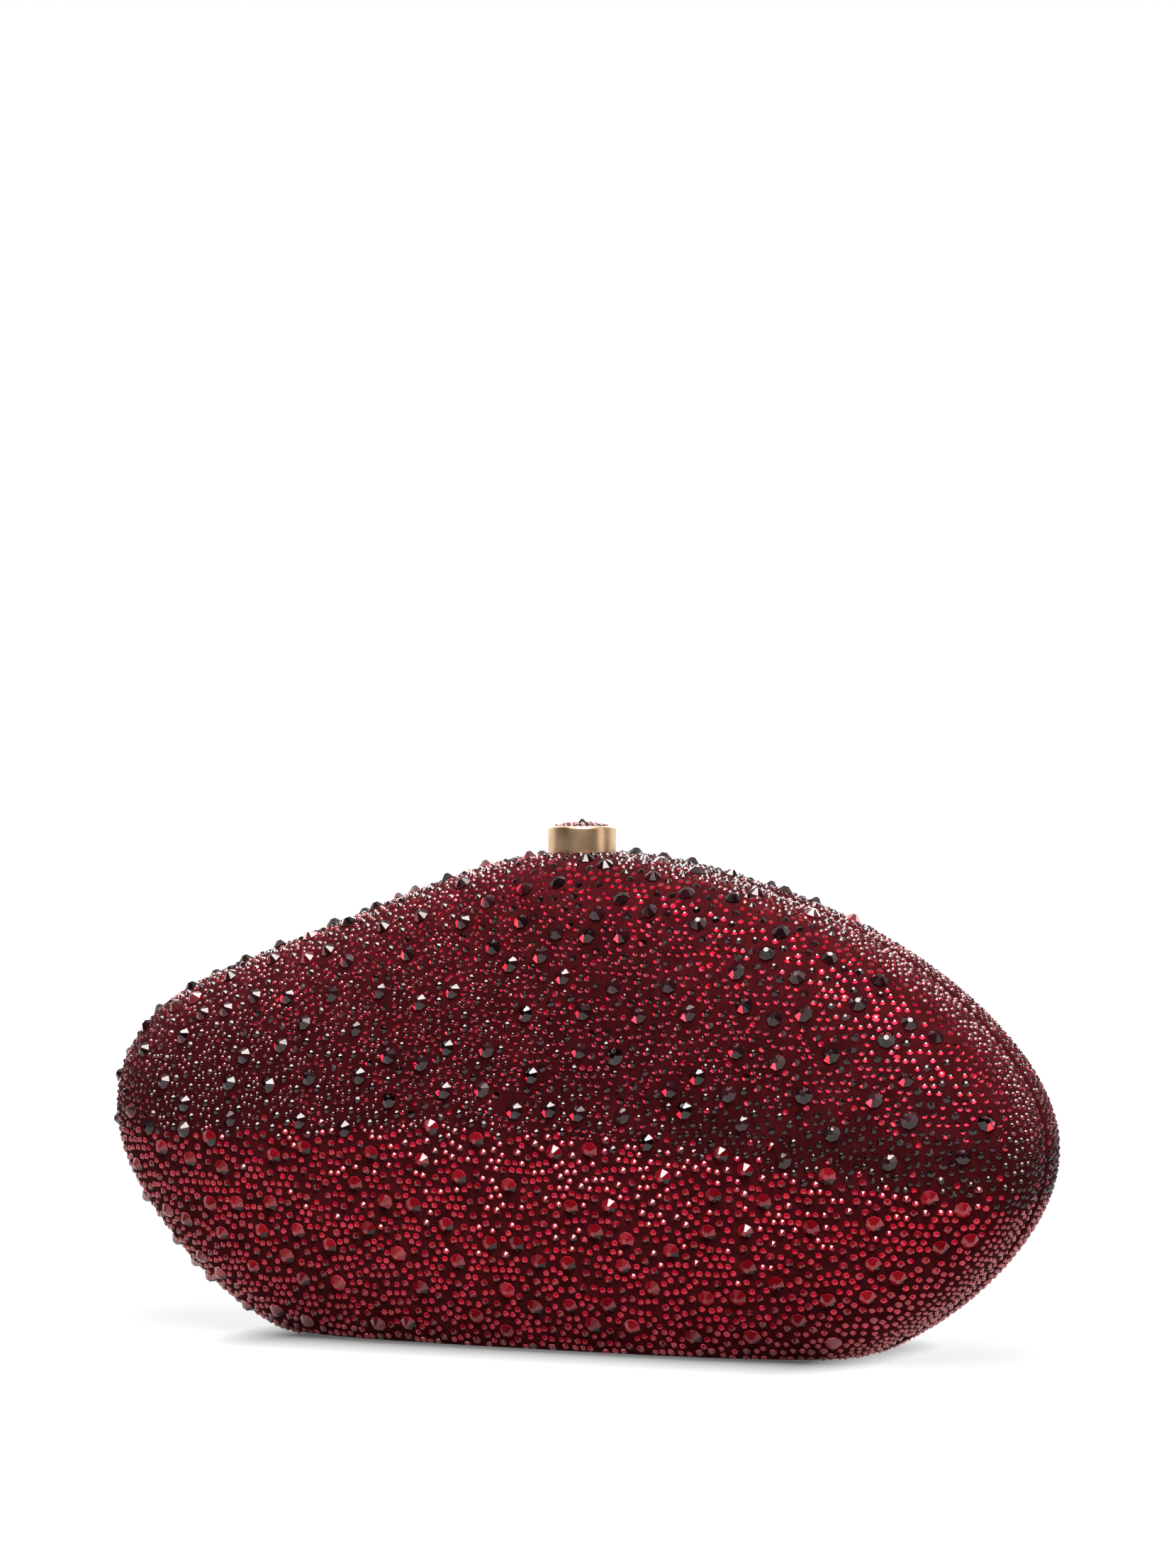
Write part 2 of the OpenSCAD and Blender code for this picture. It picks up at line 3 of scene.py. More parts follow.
import bpy
import numpy as np
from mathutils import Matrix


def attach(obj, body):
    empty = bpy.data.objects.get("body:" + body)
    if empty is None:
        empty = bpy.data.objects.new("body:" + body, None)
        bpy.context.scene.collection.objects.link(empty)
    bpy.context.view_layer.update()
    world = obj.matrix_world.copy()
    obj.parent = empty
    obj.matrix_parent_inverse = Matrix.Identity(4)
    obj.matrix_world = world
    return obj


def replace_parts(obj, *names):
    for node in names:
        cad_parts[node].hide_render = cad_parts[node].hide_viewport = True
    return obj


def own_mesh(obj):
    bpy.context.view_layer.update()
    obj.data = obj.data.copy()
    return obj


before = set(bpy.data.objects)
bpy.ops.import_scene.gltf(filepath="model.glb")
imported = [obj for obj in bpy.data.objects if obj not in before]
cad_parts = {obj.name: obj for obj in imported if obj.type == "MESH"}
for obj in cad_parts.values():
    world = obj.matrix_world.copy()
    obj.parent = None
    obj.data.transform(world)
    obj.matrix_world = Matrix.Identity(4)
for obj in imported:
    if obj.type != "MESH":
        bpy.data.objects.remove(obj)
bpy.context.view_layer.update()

# The camera looks level at the bag from its right front, from a little above its top edge.
# Its film is 36 mm on the long side. It is part of the stage.
MM = 0.001
CAMERA_TURN = math.radians(26)
CAMERA_RANGE = 1.117
CAMERA_HEIGHT = 0.1234
CAMERA_STEP_RIGHT = 0.00356
CAMERA_LENS = 115.47
CAMERA_FILM = 36


def into_scene(name, data):
    thing = bpy.data.objects.new(name, data)
    bpy.context.scene.collection.objects.link(thing)
    return thing


camera = into_scene("camera", bpy.data.cameras.new("camera"))
camera.data.lens = CAMERA_LENS
camera.data.sensor_width = CAMERA_FILM
camera.location = (
    CAMERA_RANGE * math.sin(CAMERA_TURN) + CAMERA_STEP_RIGHT * math.cos(CAMERA_TURN),
    -CAMERA_RANGE * math.cos(CAMERA_TURN) + CAMERA_STEP_RIGHT * math.sin(CAMERA_TURN),
    CAMERA_HEIGHT,
)
camera.rotation_euler = (math.radians(90), 0, CAMERA_TURN)
bpy.context.scene.camera = camera
bpy.context.scene.view_settings.view_transform = "Standard"


# The floor is a sheet of white card, lit until it is white. Its material glows, apart from a painted
# shadow: a soft dark patch where the bag stands. The crystals low on the bag mirror that glow.
class Value:
    """One output of a node. Sums and products of values add their Math nodes to its tree."""

    def __init__(self, finish, socket):
        self.finish, self.socket = finish, socket

    def math(self, operation, *others, clamp=False):
        settings = {"operation": operation, "use_clamp": clamp}
        return self.finish.node("ShaderNodeMath", settings, dict(enumerate((self, *others))))

    def __add__(self, other):
        return self.math("ADD", other)

    def __sub__(self, other):
        return self.math("SUBTRACT", other)

    def __mul__(self, other):
        return self.math("MULTIPLY", other)

    def __truediv__(self, other):
        return self.math("DIVIDE", other)

    def __rsub__(self, other):
        return self * -1 + other

    def __rtruediv__(self, other):
        return self.math("POWER", -1.0) * other

    __radd__, __rmul__ = __add__, __mul__


class Finish:
    """The node tree of a material or of the world."""

    def __init__(self, owner):
        owner.use_nodes = True
        self.owner, self.tree = owner, owner.node_tree
        self.tree.nodes.clear()

    def node(self, kind, settings=None, inputs=None, output=0):
        """A node of that kind: its settings first, then the values or links of its sockets."""
        node = self.tree.nodes.new(kind)
        for key, value in (settings or {}).items():
            if key == "stops":
                for spare in list(node.color_ramp.elements)[1:]:
                    node.color_ramp.elements.remove(spare)
                for place, colour in value:
                    stop = node.color_ramp.elements.new(place)
                    stop.color = (*colour, 1)
                node.color_ramp.elements.remove(node.color_ramp.elements[0])
            else:
                setattr(node, key, value)
        for key, value in (inputs or {}).items():
            if isinstance(value, Value):
                self.tree.links.new(value.socket, node.inputs[key])
            else:
                node.inputs[key].default_value = value
        return Value(self, node.outputs[output]) if node.outputs else None

    def place(self):
        """Coordinates that stay with the piece, in metres."""
        return self.node("ShaderNodeTexCoord", output="Object")

    def noise(self, place, scale, detail=3, roughness=0.5):
        inputs = {"Vector": place, "Scale": scale, "Detail": detail, "Roughness": roughness}
        return self.node("ShaderNodeTexNoise", {}, inputs, "Fac")

    def mix(self, share, a, b):
        """Two colours mixed by a share."""
        return self.node("ShaderNodeMix", {"data_type": "RGBA"}, {0: share, 6: a, 7: b}, 2)

    def ramp(self, value, *stops):
        return self.node("ShaderNodeValToRGB", {"stops": stops}, {0: value}, "Color")

    def bump(self, height, depth):
        """Relief from a height of 0 to 1, with its full depth in metres."""
        inputs = {"Height": height, "Distance": depth, "Strength": 1.0}
        return self.node("ShaderNodeBump", {}, inputs, "Normal")

    def vector(self, operation, *terms, output="Vector", **more):
        inputs = {**dict(enumerate(terms)), **more}
        return self.node("ShaderNodeVectorMath", {"operation": operation}, inputs, output)

    def surface(self, **sockets):
        """The Principled shader, by the names of its sockets, as the material's surface."""
        inputs = {key.replace("_", " "): value for key, value in sockets.items()}
        shader = self.node("ShaderNodeBsdfPrincipled", {}, inputs, "BSDF")
        self.node("ShaderNodeOutputMaterial", {}, {"Surface": shader})
        return self.owner


def finish_named(name):
    return Finish(bpy.data.materials.new(name))


def smooth(mesh, degrees):
    """Shades a mesh smooth. Edges bent by more than that stay sharp."""
    mesh.shade_smooth()
    mesh.set_sharp_from_angle(angle=math.radians(degrees))


def make_piece(name, points, faces, material, smooth_under=None):
    """A mesh from points in metres, flat or smooth up to an angle in degrees."""
    mesh = bpy.data.meshes.new(name)
    mesh.from_pydata(np.asarray(points, float).tolist(), [], faces)
    mesh.materials.append(material)
    if smooth_under:
        smooth(mesh, smooth_under)
    mesh.update()
    return into_scene(name, mesh)


FLOOR_LEVEL = -0.6 * MM
CARD_FRONT, CARD_BACK, CARD_HALF = 0.50, 3.0, 3.0
CARD_WHITE, CARD_WARM = (0.075, 0.075, 0.075, 1), (0.085, 0.083, 0.080, 1)
CARD_CLOUDS = 6
# The first glow is that of the painted shadow, a soft dark patch round the bag's base
SHADOW_GLOW, GLOW_NEAR, GLOW_FAR = (0.10, 0.10, 0.10, 1), (0.86, 0.86, 0.86, 1), (1.1, 1.1, 1.1, 1)
GLOW_START, GLOW_SPREAD = 0.25, 0.9
SHADOW_HALF, SHADOW_FADE = (0.062, 0.014, 0), 0.017
SHADOW_SCALE = (1, 0.6, 0)

card = finish_named("white_card")
card_place = card.place()
card_range = card.vector("LENGTH", card_place, output="Value")
card_far = ((card_range - GLOW_START) / GLOW_SPREAD).math("MINIMUM", 1.0, clamp=True)
# Painted shadow: the glow drops over the box of the bag's base and fades back out past it
card_shadow = card.vector("ABSOLUTE", card.node("ShaderNodeNewGeometry", output="Position"))
card_shadow = card.vector("MAXIMUM", card.vector("SUBTRACT", card_shadow, SHADOW_HALF), (0, 0, 0))
card_shadow = card.vector("MULTIPLY", card_shadow, SHADOW_SCALE)
card_shadow = card.vector("LENGTH", card_shadow, output="Value")
card_shadow = (card_shadow / SHADOW_FADE).math("MINIMUM", 1.0, clamp=True)
card_glow = card.mix(card_shadow, SHADOW_GLOW, GLOW_NEAR)
white_card = card.surface(
    Base_Color=card.mix(card.noise(card_place, CARD_CLOUDS), CARD_WHITE, CARD_WARM),
    Roughness=1.0,
    Specular_IOR_Level=0.0,
    Emission_Color=card.mix(card_far, card_glow, GLOW_FAR),
    Emission_Strength=1.0,
)
corners = (
    (-CARD_HALF, -CARD_FRONT, FLOOR_LEVEL), (CARD_HALF, -CARD_FRONT, FLOOR_LEVEL),
    (CARD_HALF, CARD_BACK, FLOOR_LEVEL), (-CARD_HALF, CARD_BACK, FLOOR_LEVEL),
)
floor = make_piece("floor", corners, [(0, 1, 2, 3)], white_card)
floor.rotation_euler[2] = CAMERA_TURN

# The room is white behind the bag and dark in front of it, above the card. The key lamp, high to
# the right, makes the white glints. A dim one round the camera and one at the right end fill in,
# and a long one low behind the bag draws its silvery edge.
ROOM_WHITE = (1.0, 1.0, 1.0, 1)
ROOM_DARK = (0.018, 0.017, 0.017, 1)
ROOM_BEHIND = (0.9, 0.9, 0.9, 1)
ROOM_RISE = math.radians(14)
ROOM_GAIN, ROOM_OFFSET = 4.0, -0.8
LAMP_AIM_HEIGHT = 0.05
LAMPS = (
    # name, azimuth, elevation, distance, width, height, brightness
    ("key_lamp", 29, 64, 1.3, 0.85, 1.30, 17),
    ("fill_lamp", 2, 27, 1.5, 0.80, 0.95, 0.35),
    ("back_lamp", 206, 20, 1.4, 1.70, 0.55, 3.2),
    ("side_lamp", 95, 20, 1.5, 0.50, 0.90, 1.6),
)

world = bpy.data.worlds.new("room")
bpy.context.scene.world = world
room = Finish(world)
toward = room.node("ShaderNodeTexCoord", output="Generated")
back = (
    -math.sin(CAMERA_TURN) * math.cos(ROOM_RISE),
    math.cos(CAMERA_TURN) * math.cos(ROOM_RISE),
    math.sin(ROOM_RISE),
)
behind = room.vector("DOT_PRODUCT", toward, back, output="Value")
behind = behind.math("MULTIPLY_ADD", ROOM_GAIN, ROOM_OFFSET, clamp=True)
room_colour = room.mix(behind, ROOM_DARK, ROOM_BEHIND)
seen = room.node("ShaderNodeLightPath", output="Is Camera Ray")
light = room.node("ShaderNodeBackground", {}, {"Color": room.mix(seen, room_colour, ROOM_WHITE)})
room.node("ShaderNodeOutputWorld", {}, {"Surface": light})


def softbox(name, azimuth, elevation, distance, width, height, brightness):
    """A lamp on a ball round the bag, facing it. Azimuth 0 is in front and 90 to the right."""
    lamp = bpy.data.lights.new(name, "AREA")
    lamp.shape = "RECTANGLE"
    lamp.size, lamp.size_y = width, height
    lamp.energy = brightness * math.pi * width * height
    box = into_scene(name, lamp)
    turn, rise = math.radians(azimuth), math.radians(elevation)
    box.location = (
        distance * math.sin(turn) * math.cos(rise),
        -distance * math.cos(turn) * math.cos(rise),
        distance * math.sin(rise) + LAMP_AIM_HEIGHT,
    )
    box.rotation_euler = (math.radians(90) - rise, 0, turn)
    box.visible_camera = False


for lamp in LAMPS:
    softbox(*lamp)

# The covers are burgundy suede on card, drawn over the two shells and turned in over their rims.
# Where the halves meet, each rim is rolled and bare, so a narrow groove runs round the bag.
BAG_WIDTH, BAG_HEIGHT, BAG_DEPTH = 225 * MM, 108.5 * MM, 56 * MM
SECTION_POWER = 3.2
SEAM_GAP = 0.8 * MM
COVER_THICK = 1.0 * MM
LIP_ROLL = 0.9 * MM
LIP_TURNS = np.radians((18, 36, 54, 72, 90))
INNER_RIM_Y = 0.5 * MM
BASE_ROLL = 1.5 * MM
CLASP_X = 2.5 * MM
KNOB_RADIUS = 7.5 * MM
KNOB_GAP = 0.35 * MM
SLOT_HALF, SLOT_TOP = 2.8 * MM, 4.6 * MM
OUTLINE_SHARES = np.array([
    (1.01, 0.30), (1.01, 0.54), (0.73, 0.81), (0.36, 0.96), (-0.01, 1.03), (-0.30, 0.925),
    (-0.65, 0.79), (-0.94, 0.68), (-1.04, 0.44), (-0.90, 0.20), (-0.63, -0.04), (-0.16, -0.09),
    (0.37, -0.10), (0.76, 0.03),
])
STATIONS = 240
FINE_STATIONS = 960
RINGS = 30
RING_CROWDING = 1.35
POLE = np.array((0, 0.5 * BAG_HEIGHT))
RIM_Y = SEAM_GAP / 2
HALF_DEPTH = BAG_DEPTH / 2
CURVE = 2 / SECTION_POWER
HALVES = (("rear", 1), ("front", -1))


def outline(count):
    """Points of the outline, in width and height, and the normals there: a closed B-spline."""
    knots = len(OUTLINE_SHARES)
    t = np.arange(count) * knots / count
    i, f = np.floor(t).astype(int), (t % 1)[:, None]
    p = [OUTLINE_SHARES[(i + step) % knots] for step in (-1, 0, 1, 2)]
    weights = ((1 - f) ** 3, 3 * f**3 - 6 * f**2 + 4, -3 * f**3 + 3 * f**2 + 3 * f + 1, f**3)
    slopes = (-((1 - f) ** 2), 3 * f**2 - 4 * f, -3 * f**2 + 2 * f + 1, f**2)
    place = sum(w * q for w, q in zip(weights, p)) / 6
    slope = sum(w * q for w, q in zip(slopes, p)) / 2
    left, right = place[:, 0].min(), place[:, 0].max()
    scale = np.array((BAG_WIDTH / (right - left), BAG_HEIGHT / place[:, 1].max()))
    place = (place - ((left + right) / 2, 0)) * scale
    normal = (slope * scale)[:, ::-1] * (1, -1)
    return place, normal / np.linalg.norm(normal, axis=1)[:, None]


EDGE, EDGE_NORMAL = outline(STATIONS)


def soft_floor(z, level):
    """Heights with the underside flattened at a level, and a short roll between the two."""
    rise = np.clip(z - level + BASE_ROLL, 0, 2 * BASE_ROLL)
    return np.where(z - level > BASE_ROLL, z, level + rise**2 / (4 * BASE_ROLL))


def loop(k, level, y, spread=1.0):
    """One loop of a half, k under the outside, at the distance y from the parting plane."""
    flat = POLE + (EDGE - k * EDGE_NORMAL - POLE) * spread
    return np.column_stack((flat[:, 0], np.full(STATIONS, y), soft_floor(flat[:, 1], level)))


def skin_loops(k, level, start_y):
    """Loops of one side of a layer, from its rim to its pole."""
    reach = HALF_DEPTH - RIM_Y - k
    start = math.acos(((start_y - RIM_Y) / reach) ** (1 / CURVE))
    loops = []
    for j in range(RINGS):
        v = start if j == 0 else math.radians(90) * (1 - (j / RINGS) ** RING_CROWDING)
        if v <= start:
            y = RIM_Y + reach * math.cos(v) ** CURVE
            loops.append(loop(k, level, y, math.sin(v) ** CURVE))
    loops.append(np.tile((POLE[0], RIM_Y + reach, POLE[1]), (STATIONS, 1)))
    return loops


def loops_to_mesh(loops, side):
    """Points and faces of a closed skin through loops. The last loop is one point, as is the
    first. The front half is the mirror image of the rear one."""
    points, faces = np.vstack((loops[0][:1], *loops[1:-1], loops[-1][:1])), []
    rings, last = len(loops) - 2, len(points) - 1
    after = [(i + 1) % STATIONS for i in range(STATIONS)]
    for i, n in enumerate(after):
        faces.append((0, 1 + n, 1 + i))
        for j in range(rings - 1):
            a = 1 + j * STATIONS
            faces.append((a + i, a + n, a + STATIONS + n, a + STATIONS + i))
        a = 1 + (rings - 1) * STATIONS
        faces.append((a + i, a + n, last))
    if side < 0:
        points = points * (1, -1, 1)
    else:
        faces = [face[::-1] for face in faces]
    return points, faces


def prism(shape, low, high, axis=2):
    """A straight solid over a shape of two coordinates, from low to high along the third."""
    shape = np.asarray(shape, float)
    count = len(shape)
    ends = [np.insert(shape, axis, level, axis=1) for level in (low, high)]
    faces = [tuple(range(count))[::-1], tuple(range(count, 2 * count))]
    faces += [(i, (i + 1) % count, count + (i + 1) % count, count + i) for i in range(count)]
    if axis == 1:
        faces = [face[::-1] for face in faces]
    return np.vstack(ends), faces


def circle(radius, count, centre):
    turn = np.arange(count) * 2 * math.pi / count
    return np.column_stack((centre[0] + radius * np.cos(turn), centre[1] + radius * np.sin(turn)))


def box_shape(x0, x1, y0, y1):
    return ((x0, y0), (x1, y0), (x1, y1), (x0, y1))


def with_cuts(piece, *cutters, operation="DIFFERENCE"):
    """Cuts closed solids, each given by points and faces, out of a piece, or joins them to it."""
    for points, faces in cutters:
        tool = make_piece("cutter", points, faces, piece.data.materials[0])
        cut = piece.modifiers.new("cut", "BOOLEAN")
        cut.operation, cut.solver, cut.object = operation, "EXACT", tool
        graph = bpy.context.evaluated_depsgraph_get()
        mesh = bpy.data.meshes.new_from_object(piece.evaluated_get(graph))
        piece.modifiers.clear()
        piece.data = mesh
        bpy.data.objects.remove(tool)


def clasp_hole(radius):
    return prism(circle(radius, 96, (CLASP_X, 0)), POLE[1], 2 * BAG_HEIGHT)


HINGE_SLOT = prism(box_shape(-BAG_WIDTH, BAG_WIDTH, -SLOT_HALF, SLOT_HALF), -2 * SLOT_TOP, SLOT_TOP)

SUEDE_DEEP, SUEDE_MID = (0.012, 0.0005, 0.0010), (0.033, 0.0016, 0.0027)
SUEDE_LIGHT = (0.067, 0.0050, 0.0074)

suede = finish_named("burgundy_suede")
suede_place = suede.place()
suede_nap = suede.noise(suede_place, 170, 4, 0.62)
suede_streak = suede.noise(suede_place, 900, 3, 0.6)
suede_fibre = suede.noise(suede_place, 5200, 2, 0.7)
suede_tone = suede_nap * 0.55 + suede_streak * 0.25 + suede_fibre * 0.2
burgundy_suede = suede.surface(
    Base_Color=suede.ramp(suede_tone, (0.3, SUEDE_DEEP), (0.52, SUEDE_MID), (0.75, SUEDE_LIGHT)),
    Roughness=0.95,
    Specular_IOR_Level=0.05,
    Sheen_Weight=0.03,
    Sheen_Roughness=0.5,
    Sheen_Tint=(0.75, 0.25, 0.28, 1),
    Normal=suede.bump(suede_fibre * 0.6 + suede_streak * 0.4, 0.12 * MM),
)

for name, side in HALVES:
    outside = skin_loops(0, 0, RIM_Y + LIP_ROLL)[::-1]
    for a in LIP_TURNS:
        k = LIP_ROLL * (1 - math.cos(a))
        outside.append(loop(k, k, RIM_Y + LIP_ROLL * (1 - math.sin(a))))
    inside = skin_loops(COVER_THICK, COVER_THICK, INNER_RIM_Y)
    cover = make_piece(
        f"{name}_suede_cover", *loops_to_mesh(outside + inside, side), burgundy_suede
    )
    with_cuts(cover, HINGE_SLOT, clasp_hole(KNOB_RADIUS + KNOB_GAP))
    smooth(cover.data, 40)
    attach(cover, f"{name}_half")
    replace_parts(cover, f"{name}_cover")

# The crystals are flat-backed ruby glass with a foil behind, pressed one by one into the suede.
# Small ones run in rows along the seam and in wavy rows over the lower face and the upper right,
# and pave the upper left at random. Medium and large ones are strewn between them.
LARGE_RADIUS, MEDIUM_RADIUS, SMALL_RADIUS = 1.92 * MM, 0.95 * MM, 0.78 * MM
ROW_RADIUS, RIM_RADIUS, TINY_RADIUS = 0.72 * MM, 0.64 * MM, 0.58 * MM
SIZE_SPREAD = 0.03
# Least distances between the middles of two of a kind, and between the edges of two kinds
MEDIUM_APART, SMALL_APART, RIM_APART, TINY_APART = 2.5 * MM, 1.58 * MM, 1.32 * MM, 1.17 * MM
LARGE_TO_MEDIUM, LARGE_TO_SMALL, MEDIUM_TO_SMALL = 0.25 * MM, 0.06 * MM, 0.10 * MM
# Medium ones to the square metre, and how many places are tried
MEDIUM_PER_AREA = 0.034e6
MEDIUM_TRIES, SMALL_TRIES = 5000, 80000
# Open rows over the face, with their jitter and waves in millimetres
OPEN_ROWS_X = 2 * MM
ROW_STEP, ROW_PITCH, ROWS_UNDER = 1.92 * MM, 1.70 * MM, 3
ROW_JITTER_X, ROW_JITTER_Z = 0.13, 0.14
LONG_WAVE, LONG_WAVE_RUN, LONG_WAVE_SHIFT = 1.1, 19, 0.25
SHORT_WAVE, SHORT_WAVE_RUN, SHORT_WAVE_SHIFT = 0.5, 7, 0.6
# Rows along the rim, and how far from it their zone ends and the open rows start
RIM_ROWS, ROW_FIRST = 7, 1.5 * MM
RIM_ROW_STEP, RIM_ROW_PITCH = 1.75 * MM, 1.72 * MM
RIM_ROW_JITTER, RIM_ROW_DRIFT = 0.10, 0.006
RIM_ZONE = ROW_FIRST + (RIM_ROWS - 0.5) * RIM_ROW_PITCH
OPEN_ZONE = ROW_FIRST + (RIM_ROWS - 0.3) * RIM_ROW_PITCH
# What stays bare: the rim, a ring round the button, the underside and, of medium ones, the right end
BARE_RIM, BARE_RIM_SHARE = 0.75 * MM, 0.3
BARE_RING = 1.5 * MM
LOWEST_STONE, LEVEL_NORMAL = -0.55 * MM, 0.98
BARE_END_X, BARE_END_RUN = 70 * MM, 17 * MM
MEDIUM_FROM_RIM = 3.0 * MM
# How deep crystals are pressed in, their height as a share of the radius, and how much they lean
STONE_SINK, STONE_HEIGHT = 0.15 * MM, 0.8
LARGE_LEAN, MEDIUM_LEAN, SMALL_LEAN = 0.03, 0.035, 0.035
NOT_ZERO = 1e-6
# The ridge line, in shares of the bag's width and height, where the crystals' lean and their painted
# shade change, and a band of painted shade above it at the right
RIDGE_X_SHARES, RIDGE_Z_SHARES = (-0.5, 0, 0.25, 0.5), (0.41, 0.44, 0.40, 0.31)
RIDGE_LEAN_UP, RIDGE_LEAN_DOWN, RIDGE_RUN, RIDGE_BLUR = 0.15, 0.20, 1.8 * MM, 1.4 * MM
SHADE_BAND_X, SHADE_BAND_TOP = 35 * MM, 14 * MM
# The net for distances over the cover, in lines and degrees, and the ends of the section's angle
NET_STATIONS, NET_RIM_SPAN, NET_RIM_LINES, NET_FACE_LINES = 241, 12, 60, 110
NET_POLE_ANGLE = 0.5
NEAR_POLE, NEAR_RIM = 1e-3, 1e-4

edge_fine, normal_fine = outline(FINE_STATIONS)
edge_run = np.insert(np.cumsum(np.linalg.norm(np.roll(edge_fine, -1, 0) - edge_fine, axis=1)), 0, 0)
edge_from_pole = edge_fine - POLE
edge_angle = np.unwrap(np.arctan2(edge_from_pole[:, 1], edge_from_pole[:, 0]))
edge_range = np.linalg.norm(edge_from_pole, axis=1)


def along_edge(run, values):
    """Rows of values, one for each fine station, at distances along the outline."""
    run = run % edge_run[-1]
    return np.column_stack([np.interp(run, edge_run, np.append(v, v[0])) for v in values.T])


def on_cover(run, v):
    """Points of the rear cover's outside, and the normals there, by the distance along the
    outline and the section angle."""
    edge, n = along_edge(run, edge_fine), along_edge(run, normal_fine)
    v = np.clip(v, NEAR_POLE, math.pi / 2 - NEAR_RIM)
    sin, cos, reach = np.sin(v), np.cos(v), HALF_DEPTH - RIM_Y
    flat = POLE + (edge - POLE) * (sin**CURVE)[:, None]
    sideways = reach * cos ** (CURVE - 1) * sin
    forwards = ((edge - POLE) * n).sum(1) * sin ** (CURVE - 1) * cos
    flatten = np.clip((flat[:, 1] + BASE_ROLL) / (2 * BASE_ROLL), 0, 1)
    normal = np.column_stack((n[:, 0] * sideways * flatten, forwards * flatten, n[:, 1] * sideways))
    normal /= np.linalg.norm(normal, axis=1)[:, None]
    points = np.column_stack((flat[:, 0], RIM_Y + reach * cos**CURVE, soft_floor(flat[:, 1], 0)))
    return points, normal


# Distances over the cover from the rim, on a net of stations and section angles
net_run = np.linspace(0, edge_run[-1], NET_STATIONS)
net_rim = 90 - np.linspace(0, NET_RIM_SPAN, NET_RIM_LINES) ** 2 / NET_RIM_SPAN
net_face = np.linspace(90 - NET_RIM_SPAN - NET_POLE_ANGLE, NET_POLE_ANGLE, NET_FACE_LINES)
net_v = np.radians(np.concatenate((net_rim, net_face)))
net_points = np.array([on_cover(net_run, np.full(NET_STATIONS, v))[0] for v in net_v])
net_reach = np.zeros(net_points.shape[:2])
net_reach[1:] = np.cumsum(np.linalg.norm(np.diff(net_points, axis=0), axis=2), axis=0)
net_up = net_points[1:, :-1] - net_points[:-1, :-1]
net_along = net_points[:-1, 1:] - net_points[:-1, :-1]
tiles = np.linalg.norm(np.cross(net_up, net_along), axis=2)
COVER_AREA = tiles.sum()


def random_spots(count, rng):
    """Distances along the outline and section angles, spread evenly over the cover."""
    tile = rng.choice(tiles.size, count, p=(tiles / COVER_AREA).ravel())
    ring, station = np.divmod(tile, tiles.shape[1])
    a, b = rng.random(count), rng.random(count)
    run = net_run[station] + a * (net_run[1] - net_run[0])
    return run, net_v[ring] + b * (net_v[ring + 1] - net_v[ring])


def reach_of(run, v):
    """Distances over the cover from the rim, to the nearest line of the net."""
    station = np.rint(run % edge_run[-1] / net_run[1]).astype(int)
    ring = len(net_v) - 1 - np.searchsorted(net_v[::-1], v)
    return net_reach[np.clip(ring, 0, len(net_v) - 1), station]


def rim_row(number, rng):
    """One row of small crystals that runs along the seam, a whole number of them."""
    reach = ROW_FIRST + number * RIM_ROW_PITCH
    v = np.array([np.interp(reach, column, net_v) for column in net_reach.T])
    line = on_cover(net_run, v)[0]
    length = np.insert(np.cumsum(np.linalg.norm(np.diff(line, axis=0), axis=1)), 0, 0)
    count = round(length[-1] / RIM_ROW_STEP)
    at = np.arange(count) + rng.random() + rng.normal(0, RIM_ROW_JITTER, count)
    at = at % count * length[-1] / count
    drift = rng.normal(0, RIM_ROW_DRIFT, count)
    return np.interp(at, length, net_run), np.interp(at, length, v) + drift


def face_spots(x, z):
    """Where the face has those places in width and height."""
    dx, dz = x - POLE[0], z - POLE[1]
    angle = np.arctan2(dz, dx)
    run = np.interp(angle, edge_angle, edge_run[:-1], period=2 * math.pi)
    share = np.hypot(dx, dz) / np.interp(angle, edge_angle, edge_range, period=2 * math.pi)
    good = share < 1
    return run[good], np.arcsin(share[good] ** (1 / CURVE))


def face_rows(rng):
    """Wavy level rows of small crystals over the face."""
    runs, angles = [], []
    for number in range(round(BAG_HEIGHT / ROW_PITCH) + ROWS_UNDER):
        x = np.arange(-0.5 * BAG_WIDTH, 0.5 * BAG_WIDTH, ROW_STEP)
        x = x + number % 2 * ROW_STEP / 2 + rng.normal(0, ROW_JITTER_X * MM, len(x))
        wave = LONG_WAVE * np.sin(x / (LONG_WAVE_RUN * MM) + LONG_WAVE_SHIFT * number)
        wave = wave + SHORT_WAVE * np.sin(x / (SHORT_WAVE_RUN * MM) + SHORT_WAVE_SHIFT * number)
        wave = wave + rng.normal(0, ROW_JITTER_Z, len(x))
        run, v = face_spots(x, (number - ROWS_UNDER) * ROW_PITCH + wave * MM)
        runs.append(run)
        angles.append(v)
    return np.concatenate(runs), np.concatenate(angles)


def over_ridge(points):
    """How far points of the face lie above the line where the crystals' lean changes."""
    ridge = np.interp(points[:, 0] / BAG_WIDTH, RIDGE_X_SHARES, RIDGE_Z_SHARES)
    return points[:, 2] - ridge * BAG_HEIGHT


def is_open(points):
    """True where the small crystals stand in open rows: under the ridge line and to its right."""
    return (over_ridge(points) < 0) | (points[:, 0] > OPEN_ROWS_X)


